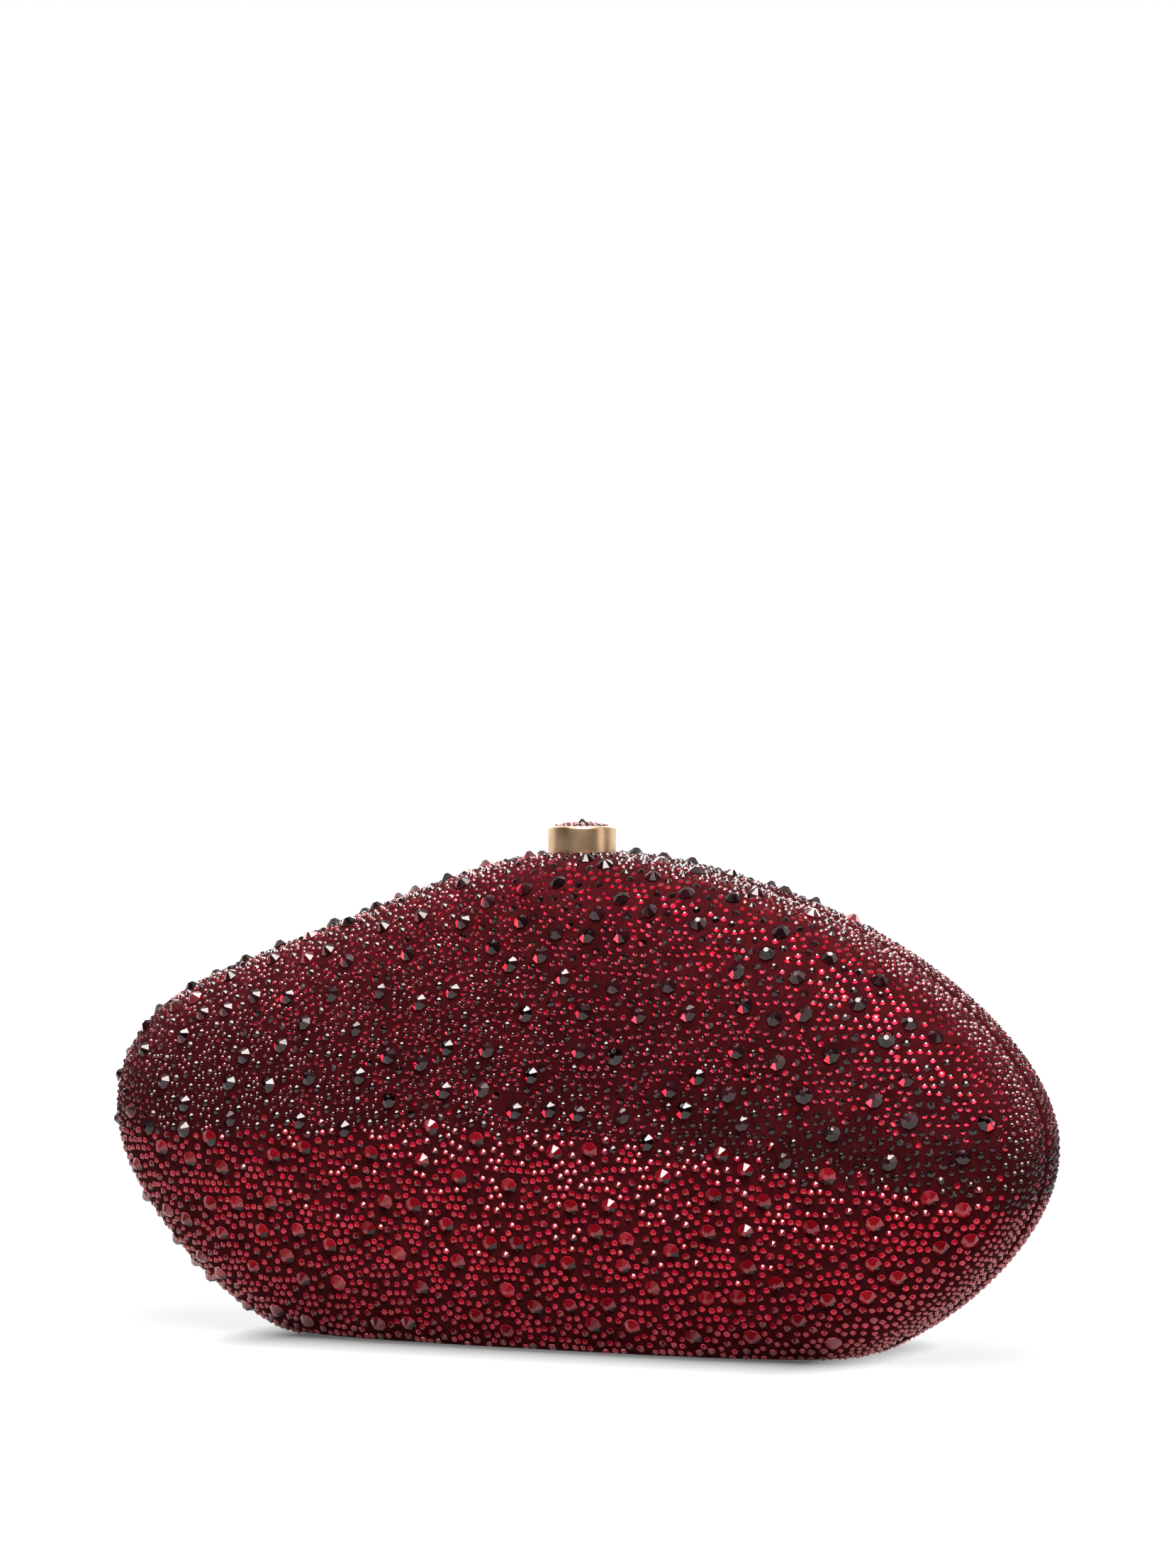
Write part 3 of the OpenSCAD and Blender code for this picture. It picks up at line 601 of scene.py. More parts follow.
def apart(points, gaps):
    """Numbers of the points that stand their own gap away from every earlier one that is kept."""
    cells, kept = {}, []
    gaps = np.broadcast_to(gaps, len(points))
    keys = np.floor(points / gaps.max()).astype(int).tolist()
    around = [(i, j, k) for i in (-1, 0, 1) for j in (-1, 0, 1) for k in (-1, 0, 1)]
    for number, ((x, y, z), (a, b, c), gap) in enumerate(zip(points.tolist(), keys, gaps.tolist())):
        near = (q for i, j, k in around for q in cells.get((a + i, b + j, c + k), ()))
        if all((x - q[0]) ** 2 + (y - q[1]) ** 2 + (z - q[2]) ** 2 >= gap**2 for q in near):
            cells.setdefault((a, b, c), []).append((x, y, z))
            kept.append(number)
    return np.array(kept)


def clear_of(points, others, least):
    """True for each point that far from all the others."""
    good = np.ones(len(points), bool)
    for other in others:
        good &= ((points - other) ** 2).sum(1) >= least**2
    return good


def is_free(points, normals, radius):
    """True where a crystal of that radius clears the seam, the button, the hinge and the base."""
    upper = points[:, 2] > POLE[1]
    lowest = points[:, 2] - radius * np.sqrt(np.clip(1 - normals[:, 2] ** 2, 0, 1))
    lowest = lowest + STONE_HEIGHT * radius * np.minimum(normals[:, 2], 0)
    low = (lowest > LOWEST_STONE) & (np.abs(normals[:, 2]) < LEVEL_NORMAL)
    ring = np.hypot(points[:, 0] - CLASP_X, points[:, 1]) > KNOB_RADIUS + BARE_RING + radius
    slot = (points[:, 1] < SLOT_HALF + radius) & (points[:, 2] < SLOT_TOP + radius)
    rim = points[:, 1] > RIM_Y + BARE_RIM + BARE_RIM_SHARE * radius
    return rim & ~slot & (low | upper) & (ring | ~upper)


def crown(sides, *rings):
    """A cut crystal of radius 1 from rings of radius and height, with a flat table and back."""
    points, faces = [], []
    for radius, height in rings:
        for i in range(sides):
            a = i * 2 * math.pi / sides
            points.append((radius * math.cos(a), radius * math.sin(a), height))
    for j in range(len(rings) - 1):
        for i in range(sides):
            a, b = j * sides + i, j * sides + (i + 1) % sides
            faces.append((a, b, b + sides, a + sides))
    faces.append(tuple(range(len(points) - sides, len(points))))
    faces.append(tuple(range(sides))[::-1])
    return np.array(points), faces


LARGE_CUT = crown(8, (1.0, 0.0), (1.0, 0.10), (0.30, 0.71))
MEDIUM_CUT = crown(8, (1.0, 0.0), (0.98, 0.14), (0.34, 0.70))
SMALL_CUT = crown(7, (1.0, 0.0), (0.97, 0.20), (0.36, 0.73))

# Behind the facets is the foil. Through glass it mirrors along the crystal's own axis, turned
# away from each facet, while the facets' gloss follows the facets.
FOIL_TURN_LEAST, FOIL_TURN_MORE, FOIL_TURN_GAIN = 0.35, 0.90, 4.0
RUBY_DEEP, RUBY_MID, RUBY_PALE = (0.28, 0.0010, 0.009), (0.43, 0.003, 0.018), (0.58, 0.009, 0.033)
LARGE_DEEP, LARGE_MID, LARGE_PALE = (0.12, 0.001, 0.003), (0.21, 0.003, 0.008), (0.32, 0.008, 0.016)
EDGE_DEEP, EDGE_MID, EDGE_PALE = (0.22, 0.002, 0.012), (0.36, 0.008, 0.030), (0.52, 0.03, 0.07)


def ruby_finish(name, deep, mid, pale, roughness, mirror):
    """Ruby glass over foil, a little different from crystal to crystal."""
    ruby = finish_named(name)
    pick = ruby.node("ShaderNodeNewGeometry", output="Random Per Island")
    depth = ruby.noise(ruby.place(), 1400, 2, 0.5)
    axis = ruby.node("ShaderNodeAttribute", {"attribute_name": "crystal_axis"}, output="Vector")
    axis = ruby.node(
        "ShaderNodeVectorTransform",
        {"vector_type": "NORMAL", "convert_from": "OBJECT", "convert_to": "WORLD"},
        {0: axis},
    )
    facet = ruby.node("ShaderNodeNewGeometry", output="True Normal")
    down = ruby.vector("SUBTRACT", axis, facet)
    down = ruby.vector("DOT_PRODUCT", down, (0, 0, 1), output="Value")
    turn = ruby.noise(ruby.place(), 900, 1, 0.5) * FOIL_TURN_MORE + FOIL_TURN_LEAST
    turn = turn * (down * FOIL_TURN_GAIN).math("MAXIMUM", 0.0, clamp=True)
    away = ruby.vector(
        "SUBTRACT",
        ruby.vector("SCALE", axis, Scale=turn + 1),
        ruby.vector("SCALE", facet, Scale=turn),
    )
    return ruby.surface(
        Base_Color=ruby.ramp(pick * 0.6 + depth * 0.4, (0.12, deep), (0.5, mid), (0.9, pale)),
        Metallic=mirror,
        Roughness=roughness + depth * 0.06,
        Specular_IOR_Level=0.0,
        Coat_Weight=1.0,
        Coat_Roughness=0.02,
        Coat_IOR=1.60,
        Normal=ruby.vector("NORMALIZE", away),
    )


ruby_crystal = ruby_finish("ruby_crystal", RUBY_DEEP, RUBY_MID, RUBY_PALE, 0.22, 0.7)
deep_ruby = ruby_finish("deep_ruby_crystal", LARGE_DEEP, LARGE_MID, LARGE_PALE, 0.07, 1.0)

# Light leaves through the narrow edge in all directions
edge = finish_named("ruby_edge")
edge_pick = edge.node("ShaderNodeNewGeometry", output="Random Per Island")
ruby_edge = edge.surface(
    Base_Color=edge.ramp(edge_pick, (0.1, EDGE_DEEP), (0.5, EDGE_MID), (0.9, EDGE_PALE)),
    Roughness=0.3 + edge_pick * 0.1,
    Coat_Weight=0.5,
    Coat_Roughness=0.05,
)

# Painted shade: facets chosen by where they sit and which way they face show dark glass in place of
# the foil. Above the ridge line those are most of the ones that don't look down, and all of them in
# a band at the right. Under it they are the larger stones' facets that look right and down. In each
# zone a share of the crystals has none.
FOIL_UNDER, FOIL_UNDER_RIGHT, FOIL_UNDER_SMALL = -0.38, -0.54, -0.15
LOOK_RIGHT, LOOK_UP, LOW_LOOK_RIGHT = 0.6, 0.8, 0.7
SHADE_LOW = 0.42
DARK_SHARE, SHADE_SHARE_RIGHT, DARK_SHARE_BUTTON = 0.8, 0.93, 0.6
GIRDLE_SLOT, DARK_SLOT = 1, 2

smoke = finish_named("dark_crystal")
smoke_pick = smoke.node("ShaderNodeNewGeometry", output="Random Per Island")
SMOKE_DEEP, SMOKE_WARM = (0.004, 0.0015, 0.002), (0.020, 0.003, 0.005)
dark_crystal = smoke.surface(
    Base_Color=smoke.ramp(smoke_pick, (0.0, SMOKE_DEEP), (1.0, SMOKE_WARM)),
    Metallic=0.0,
    Roughness=0.06 + smoke_pick * 0.05,
    IOR=1.57,
    Specular_Tint=(1.0, 0.91, 0.88, 1),
)


def shaded_facets(points, ridge, right, rise, deep):
    """Which facets of which crystals get painted shade, dark glass in place of the foil, by where
    they sit and the way they face.
    """
    upper, x = (ridge > 0)[:, None], points[:, :1]
    # In the band at the right every facet may take the painted shade
    band = upper & (ridge < SHADE_BAND_TOP)[:, None] & (x > SHADE_BAND_X)
    if not deep:
        return band | upper & (rise > FOIL_UNDER_SMALL)
    least = np.where(x > OPEN_ROWS_X, FOIL_UNDER_RIGHT, FOIL_UNDER)
    high = LOOK_RIGHT * right + LOOK_UP * rise > least
    return band | np.where(upper, high, LOW_LOOK_RIGHT * right - rise > SHADE_LOW)


def set_crystals(name, side, points, normals, radius, cut, rng, lean, deep=False, body=None):
    """Crystals pressed into a cover, in one piece. Some facets of them show dark glass in place of
    the foil: painted shade by zone and facing on the covers, at random on the button.
    """
    shape, faces = cut
    count, corners = len(points), len(shape)
    turn = rng.random(count) * 2 * math.pi
    up = normals + rng.normal(0, lean, (count, 3))
    ridge = over_ridge(points) + rng.normal(0, RIDGE_BLUR, count)
    if body is None:
        above = np.tanh(ridge / RIDGE_RUN)
        up[:, 2] += above * np.where(above > 0, RIDGE_LEAN_UP, RIDGE_LEAN_DOWN)
    up /= np.linalg.norm(up, axis=1)[:, None]
    a = np.cross(up, (0.0, 0.0, 1.0)) + NOT_ZERO
    a /= np.linalg.norm(a, axis=1)[:, None]
    b = np.cross(up, a)
    u = a * np.cos(turn)[:, None] + b * np.sin(turn)[:, None]
    w = np.cross(up, u)
    local = shape * (radius * (1 + rng.normal(0, SIZE_SPREAD, count)))[:, None, None]
    base = points - STONE_SINK * up
    world = (
        base[:, None, :] + local[:, :, :1] * u[:, None] + local[:, :, 1:2] * w[:, None]
        + local[:, :, 2:] * up[:, None]
    ).reshape(-1, 3)
    order = [face if side > 0 else face[::-1] for face in faces]
    all_faces = [tuple(i * corners + c for c in face) for i in range(count) for face in order]
    stones = make_piece(name, world * (1, side, 1), all_faces, deep_ruby if deep else ruby_crystal)
    stones.data.materials.append(ruby_edge)
    stones.data.materials.append(dark_crystal)
    axes = np.repeat(up * (1, side, 1), corners, axis=0)
    held = stones.data.attributes.new("crystal_axis", "FLOAT_VECTOR", "POINT")
    held.data.foreach_set("vector", axes.ravel())

    middles = np.array([shape[list(face)].mean(0) for face in faces])
    out = middles[None, :, :1] * u[:, None] + middles[None, :, 1:2] * w[:, None]
    if body:
        dark = rng.random((count, len(faces))) < DARK_SHARE_BUTTON
    else:
        dark = shaded_facets(points, ridge, out[:, :, 0], out[:, :, 2], deep)
    # Above the ridge at the right more crystals carry the painted shade
    share = np.where((ridge > 0) & (points[:, 0] > OPEN_ROWS_X), SHADE_SHARE_RIGHT, DARK_SHARE)
    finishes = np.zeros((count, len(faces)), np.int32)
    finishes[:, : len(faces[-1])] = GIRDLE_SLOT
    finishes[dark & (rng.random(count) < share)[:, None]] = DARK_SLOT
    stones.data.polygons.foreach_set("material_index", finishes.ravel())
    stones.data.update()
    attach(stones, body or ("rear_half" if side > 0 else "front_half"))
    return stones


SAME_PLACE = 0.001 * MM


def cad_crystals(node):
    """Feet and directions of the crystals in a CAD node, one for each separate solid of it."""
    mesh, turn = node.data, np.array(node.matrix_world)
    points, edges = np.empty(3 * len(mesh.vertices)), np.empty(2 * len(mesh.edges), np.int32)
    mesh.vertices.foreach_get("co", points)
    mesh.edges.foreach_get("vertices", edges)
    points = points.reshape(-1, 3) @ turn[:3, :3].T + turn[:3, 3]
    place = np.unique(np.round(points / SAME_PLACE), axis=0, return_inverse=True)[1].ravel()
    edges, solid = place[edges.reshape(-1, 2)], np.arange(len(points))
    while True:
        lowest = solid[edges].min(axis=1)
        joined = solid.copy()
        np.minimum.at(joined, edges.ravel(), np.repeat(lowest, 2))
        if (joined == solid).all():
            break
        solid = joined
    feet, axes = [], []
    for number in np.unique(solid[place]):
        own = points[solid[place] == number]
        middle = own.mean(axis=0)
        axis = np.linalg.svd(own - middle)[2][2]
        axis *= np.sign(axis @ (middle - (POLE[0], 0, POLE[1])))
        feet.append(middle + axis * ((own - middle) @ axis).min())
        axes.append(axis)
    return np.array(feet), np.array(axes)


for name, side in HALVES:
    rng = np.random.default_rng(20 + side)
    large, large_up = (v * (1, side, 1) for v in cad_crystals(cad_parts[f"{name}_crystals"]))

    run, v = random_spots(MEDIUM_TRIES, rng)
    points, normals = on_cover(run, v)
    reach = reach_of(run, v)
    good = is_free(points, normals, MEDIUM_RADIUS) & (reach > MEDIUM_FROM_RIM)
    good &= ~((points[:, 0] > BARE_END_X) & (reach < BARE_END_RUN))
    good &= clear_of(points, large, LARGE_RADIUS + MEDIUM_RADIUS + LARGE_TO_MEDIUM)
    points, normals = points[good], normals[good]
    keep = apart(points, MEDIUM_APART)[: int(COVER_AREA * MEDIUM_PER_AREA)]
    medium, medium_up = points[keep], normals[keep]

    rows = [rim_row(number, rng) for number in range(RIM_ROWS)]
    run, v = face_rows(rng)
    inner = (reach_of(run, v) > OPEN_ZONE) & is_open(on_cover(run, v)[0])
    rows.append((run[inner], v[inner]))
    rows.append(random_spots(SMALL_TRIES, rng))
    run, v = (np.concatenate(parts) for parts in zip(*rows))
    points, normals = on_cover(run, v)
    zones = (reach_of(run, v) < RIM_ZONE, over_ridge(points) < 0, is_open(points))
    size = np.select(zones, (RIM_RADIUS, SMALL_RADIUS, ROW_RADIUS), TINY_RADIUS)
    gap = np.select(zones, (RIM_APART, SMALL_APART, SMALL_APART), TINY_APART)
    good = is_free(points, normals, size)
    good &= clear_of(points, large, LARGE_RADIUS + size + LARGE_TO_SMALL)
    good &= clear_of(points, medium, MEDIUM_RADIUS + size + MEDIUM_TO_SMALL)
    points, normals, size, gap = points[good], normals[good], size[good], gap[good]
    keep = apart(points, gap)
    small, small_up, small_size = points[keep], normals[keep], size[keep]

    large_set = (large, large_up, LARGE_RADIUS, LARGE_CUT, rng, LARGE_LEAN, True)
    medium_set = (medium, medium_up, MEDIUM_RADIUS, MEDIUM_CUT, rng, MEDIUM_LEAN, True)
    small_set = (small, small_up, small_size, SMALL_CUT, rng, SMALL_LEAN)
    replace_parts(set_crystals(f"{name}_large_crystals", side, *large_set), f"{name}_crystals")
    set_crystals(f"{name}_medium_crystals", side, *medium_set)
    set_crystals(f"{name}_small_crystals", side, *small_set)

# The two shells are moulded resin, under the suede. Little of them shows, even with the bag open.
SHELL_K, SHELL_IN_K, SHELL_RIM_Y = 1.2 * MM, 3.2 * MM, 1.5 * MM
HOLE_ROOM = 9.05 * MM
RIVET_X = (-37.8 * MM, -12.6 * MM, 12.6 * MM, 37.8 * MM)
RIVET_Y, RIVET_HOLE, HOLE_LOW = 9 * MM, 1.05 * MM, -1 * MM
RESIN_DARK, RESIN_WARM = (0.012, 0.008, 0.009), (0.030, 0.018, 0.020)

resin = finish_named("moulded_resin")
resin_cloud = resin.noise(resin.place(), 60, 3, 0.5)
moulded_resin = resin.surface(
    Base_Color=resin.ramp(resin_cloud, (0.3, RESIN_DARK), (0.7, RESIN_WARM)),
    Roughness=0.45 + resin_cloud * 0.2,
    Normal=resin.bump(resin.noise(resin.place(), 1500, 3, 0.6), 0.03 * MM),
)


def layer_piece(name, side, out_k, in_k, out_floor, in_floor, start_y, material):
    """A closed layer of one half, between two depths under the outside."""
    loops = skin_loops(out_k, out_floor, start_y)[::-1] + skin_loops(in_k, in_floor, start_y)
    return make_piece(name, *loops_to_mesh(loops, side), material)


for name, side in HALVES:
    depths = (SHELL_K, SHELL_IN_K, SHELL_K, SHELL_IN_K, SHELL_RIM_Y)
    shell = layer_piece(f"{name}_resin_shell", side, *depths, moulded_resin)
    holes = [prism(circle(RIVET_HOLE, 16, (x, side * RIVET_Y)), HOLE_LOW, SLOT_TOP) for x in RIVET_X]
    with_cuts(shell, HINGE_SLOT, clasp_hole(HOLE_ROOM), *holes)
    smooth(shell.data, 40)
    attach(shell, f"{name}_half")
    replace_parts(shell, f"{name}_shell")

# The linings are burgundy satin on thin card, glued inside the shells and turned over at the
# mouth, where the frame bands hold them.
LINING_K, LINING_IN_K, LINING_RIM_Y = 3.4 * MM, 4.0 * MM, 4.7 * MM
LINING_FLOOR, LINING_IN_FLOOR = 4.9 * MM, 5.5 * MM
SATIN_DEEP, SATIN_MID, SATIN_LIGHT = (0.060, 0.004, 0.010), (0.125, 0.010, 0.022), (0.23, 0.028, 0.050)

satin = finish_named("burgundy_satin")
satin_place = satin.place()
satin_thread = satin.node(
    "ShaderNodeTexWave",
    {"wave_type": "BANDS", "bands_direction": "Z", "wave_profile": "SIN"},
    {"Vector": satin_place, "Scale": 900, "Distortion": 1.5, "Detail": 2},
    "Fac",
)
satin_drift = satin.noise(satin_place, 45, 3, 0.5)
satin_slub = satin.noise(satin_place, 420, 3, 0.6)
burgundy_satin = satin.surface(
    Base_Color=satin.ramp(
        satin_drift * 0.6 + satin_slub * 0.2 + satin_thread * 0.2,
        (0.3, SATIN_DEEP), (0.5, SATIN_MID), (0.75, SATIN_LIGHT),
    ),
    Roughness=0.34 + satin_slub * 0.16,
    Anisotropic=0.5,
    Sheen_Weight=0.3,
    Sheen_Tint=(0.9, 0.45, 0.5, 1),
    Normal=satin.bump(satin_thread * 0.25 + satin_slub * 0.2 + satin_drift * 0.55, 0.25 * MM),
)

for name, side in HALVES:
    depths = (LINING_K, LINING_IN_K, LINING_FLOOR, LINING_IN_FLOOR, LINING_RIM_Y)
    lining = layer_piece(f"{name}_satin_lining", side, *depths, burgundy_satin)
    with_cuts(lining, clasp_hole(HOLE_ROOM))
    smooth(lining.data, 40)
    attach(lining, f"{name}_half")
    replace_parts(lining, f"{name}_lining")

# The frames are brass angle, bent to the outline and plated: a flange that faces the other half
# and a band round the mouth. The rear one has the lip that lines the halves up.
FLANGE_BACK, BAND_BACK, LIP_FRONT = 1.4 * MM, 4.4 * MM, -2.0 * MM
BAND_K = {"front": (4.7 * MM, 5.5 * MM), "rear": (5.9 * MM, 6.7 * MM)}
LIP_LOW, LIP_FROM_CLASP, LIP_STEP = 0.23 * BAG_HEIGHT, 18 * MM, 0.01 * MM
PAD_IN, PAD_OUT, PAD_LOW = 9.45 * MM, 15.45 * MM, 99.1 * MM
PAD_OVERLAP, PAD_INSET = 0.3 * MM, 0.02 * MM
GOLD_DEEP, GOLD_MID, GOLD_LIGHT = (0.50, 0.33, 0.14), (0.62, 0.43, 0.20), (0.74, 0.55, 0.29)


def brass_finish(name, deep, mid, light, roughness, grain, brushing=1.0):
    """Plated brass: fine polishing lines, a little tarnish and worn bright patches."""
    brass = finish_named(name)
    place = brass.place()
    lines = brass.node("ShaderNodeMapping", {}, {"Vector": place, "Scale": grain})
    lines = brass.noise(lines, 1.0, 4, 0.6)
    tarnish = brass.noise(place, 140, 4, 0.6)
    tone = lines * (0.4 * brushing) + tarnish * (1 - 0.4 * brushing)
    return brass.surface(
        Base_Color=brass.ramp(tone, (0.3, deep), (0.5, mid), (0.72, light)),
        Metallic=1.0,
        Roughness=roughness - 0.06 + lines * (0.12 * brushing) + tarnish * 0.08,
        Normal=brass.bump(lines, 0.02 * MM * brushing),
    )


satin_brass = brass_finish("satin_brass", GOLD_DEEP, GOLD_MID, GOLD_LIGHT, 0.24, (900, 900, 900))

for name, side in HALVES:
    band_k, band_in_k = BAND_K[name]
    step_y = RIM_Y - LIP_STEP
    section = (
        (SHELL_K, RIM_Y), (band_k, RIM_Y), (band_k, step_y), (band_in_k, step_y),
        (band_in_k, BAND_BACK), (band_k, BAND_BACK), (band_k, FLANGE_BACK), (SHELL_K, FLANGE_BACK),
    )
    loops = [loop(k, k, y) for k, y in section]
    if name == "rear":
        lipped = (loops[2][:, 2] > LIP_LOW) & (np.abs(loops[2][:, 0] - CLASP_X) > LIP_FROM_CLASP)
        for ring in loops[2:4]:
            ring[lipped, 1] = LIP_FRONT
    count = len(loops)
    points = np.vstack(loops) * (1, side, 1)
    faces = []
    for j in range(count):
        for i in range(STATIONS):
            a, b, n = j * STATIONS, (j + 1) % count * STATIONS, (i + 1) % STATIONS
            faces.append((a + i, a + n, b + n, b + i)[::side])
    rim_frame = make_piece(f"{name}_brass_frame", points, faces, satin_brass)
    with_cuts(rim_frame, HINGE_SLOT, clasp_hole(HOLE_ROOM))
    crest = loops[4][loops[4][:, 2] > POLE[1]]
    crest = crest[np.argsort(crest[:, 0])]
    for s in (-1, 1):
        x0, x1 = sorted((CLASP_X + s * PAD_IN, CLASP_X + s * PAD_OUT))
        z0, z1 = np.interp((x0, x1), crest[:, 0], crest[:, 2]) + PAD_OVERLAP
        depth = sorted((side * (RIM_Y + PAD_INSET), side * (BAND_BACK - PAD_INSET)))
        pad = prism(((x0, PAD_LOW), (x1, PAD_LOW), (x1, z1), (x0, z0)), *depth, axis=1)
        with_cuts(rim_frame, pad, operation="UNION")
    smooth(rim_frame.data, 35)
    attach(rim_frame, f"{name}_half")
    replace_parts(rim_frame, f"{name}_frame")

# The hinge is a brass piano hinge along the base: two leaves with knuckles, a steel pin and
# eight rivets through the shells. Its nodes are right as they come, and get their metal here.
HINGE_DEEP, HINGE_MID, HINGE_LIGHT = (0.24, 0.15, 0.065), (0.42, 0.29, 0.13), (0.62, 0.46, 0.24)
STEEL_DARK, STEEL_MID, STEEL_LIGHT = (0.22, 0.22, 0.23), (0.42, 0.42, 0.44), (0.62, 0.62, 0.64)
tumbled_brass = brass_finish("tumbled_brass", HINGE_DEEP, HINGE_MID, HINGE_LIGHT, 0.34, (150, 2500, 2500))
bright_steel = brass_finish("bright_steel", STEEL_DARK, STEEL_MID, STEEL_LIGHT, 0.25, (1800, 1800, 300))


def repaint(material, *nodes):
    """Gives CAD nodes that stay a finish of their own."""
    for name in nodes:
        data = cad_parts[name].data
        data.materials.clear()
        data.materials.append(material)


repaint(tumbled_brass, "rear_hinge_leaf", "front_hinge_leaf", "rear_hinge_rivets", "front_hinge_rivets")
repaint(bright_steel, "hinge_pin")

# The clasp's inner parts are a brass well with two ears, a steel bush, and a brass yoke with the
# two noses that the steel latch plate catches. Small screws hold them to the frames' pads.
repaint(satin_brass, "clasp_housing", "catch_yoke")
repaint(bright_steel, "guide_bush", "housing_screws", "yoke_screws")
repaint(bright_steel, "button_stem", "latch_plate", "latch_retainer")

# The return spring is drawn steel wire, wound in six turns with a flat turn at each end. It
# stands on the well's floor and presses the button up, so it shortens when the button goes down.
WELL_FLOOR, KNOB_UNDER = 99.1 * MM, 112.1 * MM
WIRE_RADIUS, COIL_RADIUS, COIL_TURNS = 0.35 * MM, 5.2 * MM, 6
COIL_STEPS, WIRE_SIDES, COIL_FLAT, COIL_GAP = 28, 12, 0.08, 0.1 * MM

points, faces = [], []
low, high = WELL_FLOOR + WIRE_RADIUS + COIL_GAP, KNOB_UNDER - WIRE_RADIUS - COIL_GAP
last = COIL_TURNS * COIL_STEPS
for step in range(last + 1):
    a, share = 2 * math.pi * step / COIL_STEPS, step / last
    z = low + (high - low) * min(1, max(0, (share - COIL_FLAT) / (1 - 2 * COIL_FLAT)))
    for i in range(WIRE_SIDES):
        b = 2 * math.pi * i / WIRE_SIDES
        out = COIL_RADIUS + WIRE_RADIUS * math.cos(b)
        points.append((CLASP_X + out * math.cos(a), out * math.sin(a), z + WIRE_RADIUS * math.sin(b)))
for step in range(last):
    for i in range(WIRE_SIDES):
        a, n = step * WIRE_SIDES, (i + 1) % WIRE_SIDES
        faces.append((a + i, a + n, a + WIRE_SIDES + n, a + WIRE_SIDES + i)[::-1])
faces.append(tuple(range(WIRE_SIDES)))
faces.append(tuple(range(last * WIRE_SIDES, (last + 1) * WIRE_SIDES))[::-1])
coil = make_piece("return_coil", points, faces, bright_steel, 40)
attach(coil, "rear_half")
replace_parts(coil, "return_spring")
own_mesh(coil)

# The press button is a cup turned from brass, brushed round its side and plated in dull antique
# gold. Its top edge is eased and a thin rim stands round the suede dome.
KNOB_TOP, KNOB_FLOOR, KNOB_BOTTOM = 114.1 * MM, 113.1 * MM, 103.5 * MM
KNOB_EASE, KNOB_LIP, KNOB_WALL, KNOB_IN_EASE = 0.7 * MM, 0.9 * MM, 1.0 * MM, 0.12 * MM
BOSS_RADIUS, BOSS_BOTTOM, SPIGOT_HOLE = 3.2 * MM, 109.1 * MM, 1.45 * MM
KNOB_STEPS = 144
ANTIQUE_DEEP, ANTIQUE_MID, ANTIQUE_LIGHT = (0.56, 0.34, 0.19), (0.80, 0.52, 0.31), (0.93, 0.67, 0.44)


def lathe(profile, steps):
    """A solid turned about the clasp's upright line from a closed profile of radius and height."""
    points, faces = [], []
    count = len(profile)
    for step in range(steps):
        a = 2 * math.pi * step / steps
        points += [(CLASP_X + r * math.cos(a), r * math.sin(a), z) for r, z in profile]
    for step in range(steps):
        a, b = step * count, (step + 1) % steps * count
        for i in range(count):
            n = (i + 1) % count
            faces.append((a + i, b + i, b + n, a + n))
    return points, faces


def eased(r, z, radius, start, stop, steps=6):
    """Points of a rounded edge about a centre, between two angles in degrees."""
    turns = [math.radians(start + (stop - start) * i / steps) for i in range(steps + 1)]
    return [(r + radius * math.cos(t), z + radius * math.sin(t)) for t in turns]


knob_profile = [
    (SPIGOT_HOLE, BOSS_BOTTOM), (BOSS_RADIUS, BOSS_BOTTOM), (BOSS_RADIUS, KNOB_UNDER),
    (KNOB_RADIUS - KNOB_WALL, KNOB_UNDER), (KNOB_RADIUS - KNOB_WALL, KNOB_BOTTOM),
    (KNOB_RADIUS, KNOB_BOTTOM),
    *eased(KNOB_RADIUS - KNOB_EASE, KNOB_TOP - KNOB_EASE, KNOB_EASE, 0, 90),
    *eased(KNOB_RADIUS - KNOB_LIP + KNOB_IN_EASE, KNOB_TOP - KNOB_IN_EASE, KNOB_IN_EASE, 90, 180, 3),
    (KNOB_RADIUS - KNOB_LIP, KNOB_FLOOR), (SPIGOT_HOLE, KNOB_FLOOR),
]
antique_gold = brass_finish(
    "antique_gold", ANTIQUE_DEEP, ANTIQUE_MID, ANTIQUE_LIGHT, 0.32, (60, 60, 9000), 0.25
)
knob = make_piece("press_button", *lathe(knob_profile, KNOB_STEPS), antique_gold, 30)
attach(knob, "button")
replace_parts(knob, "button_knob")

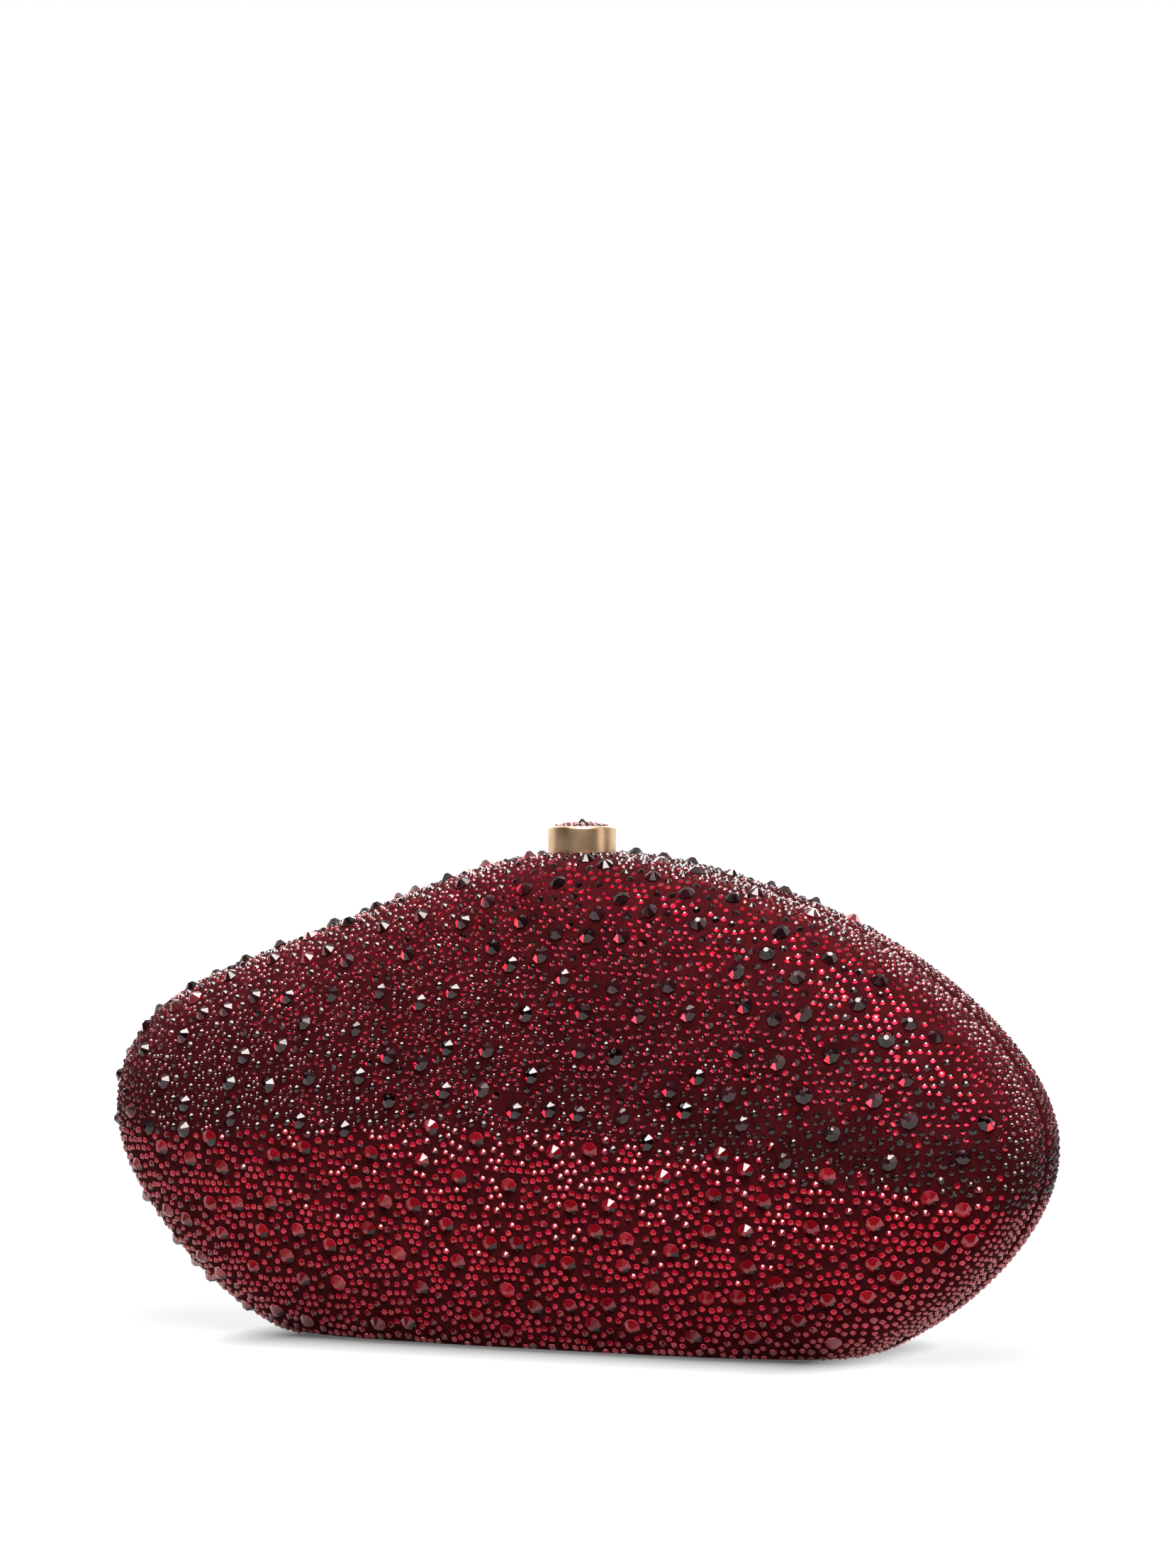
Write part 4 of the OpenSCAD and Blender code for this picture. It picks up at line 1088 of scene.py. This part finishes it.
# The button's cap is a suede-covered dome glued in its recess and paved with crystals: a larger
# one at the crown and small ones round it.
CAP_RADIUS, CAP_SIDE, CAP_RISE = 6.4 * MM, 0.85 * MM, 0.85 * MM
CAP_RINGS, CAP_STEPS, CAP_BORE = 14, 96, 0.01 * MM
cap_ball = (CAP_RADIUS**2 + CAP_RISE**2) / (2 * CAP_RISE)
cap_centre = np.array((CLASP_X, 0, KNOB_FLOOR + CAP_SIDE + CAP_RISE - cap_ball))
cap_lean = math.asin(CAP_RADIUS / cap_ball)
cap_profile = [(CAP_BORE, KNOB_FLOOR), (CAP_BORE, cap_centre[2] + cap_ball)]
for i in range(1, CAP_RINGS + 1):
    t = cap_lean * i / CAP_RINGS
    cap_profile.append((cap_ball * math.sin(t), cap_centre[2] + cap_ball * math.cos(t)))
cap_profile.append((CAP_RADIUS, KNOB_FLOOR))
cap = make_piece("button_suede_dome", *lathe(cap_profile[::-1], CAP_STEPS), burgundy_suede, 40)
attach(cap, "button")
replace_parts(cap, "button_cap")

CROWN_RADIUS, PAVE_RADIUS = 1.40 * MM, 0.62 * MM
PAVE_RINGS = ((0.31, 9), (0.50, 15), (0.69, 20), (0.875, 25))
CROWN_LEAN, PAVE_LEAN = 0.02, 0.10


def cap_spots(rings):
    """Feet and directions of crystals in rings on the dome: a share of its lean, and a count."""
    ups = []
    for share, count in rings:
        t = cap_lean * share
        for i in range(count):
            a = 2 * math.pi * (i + share) / count
            ups.append((math.sin(t) * math.cos(a), math.sin(t) * math.sin(a), math.cos(t)))
    ups = np.array(ups)
    return cap_centre + ups * cap_ball, ups


rng = np.random.default_rng(5)
crown_set = (*cap_spots(((0.0, 1),)), CROWN_RADIUS, LARGE_CUT, rng, CROWN_LEAN)
pave_set = (*cap_spots(PAVE_RINGS), PAVE_RADIUS, MEDIUM_CUT, rng, PAVE_LEAN)
top_stone = set_crystals("button_crown_crystals", 1, *crown_set, body="button")
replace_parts(top_stone, "button_crystals")
set_crystals("button_pave_crystals", 1, *pave_set, body="button")
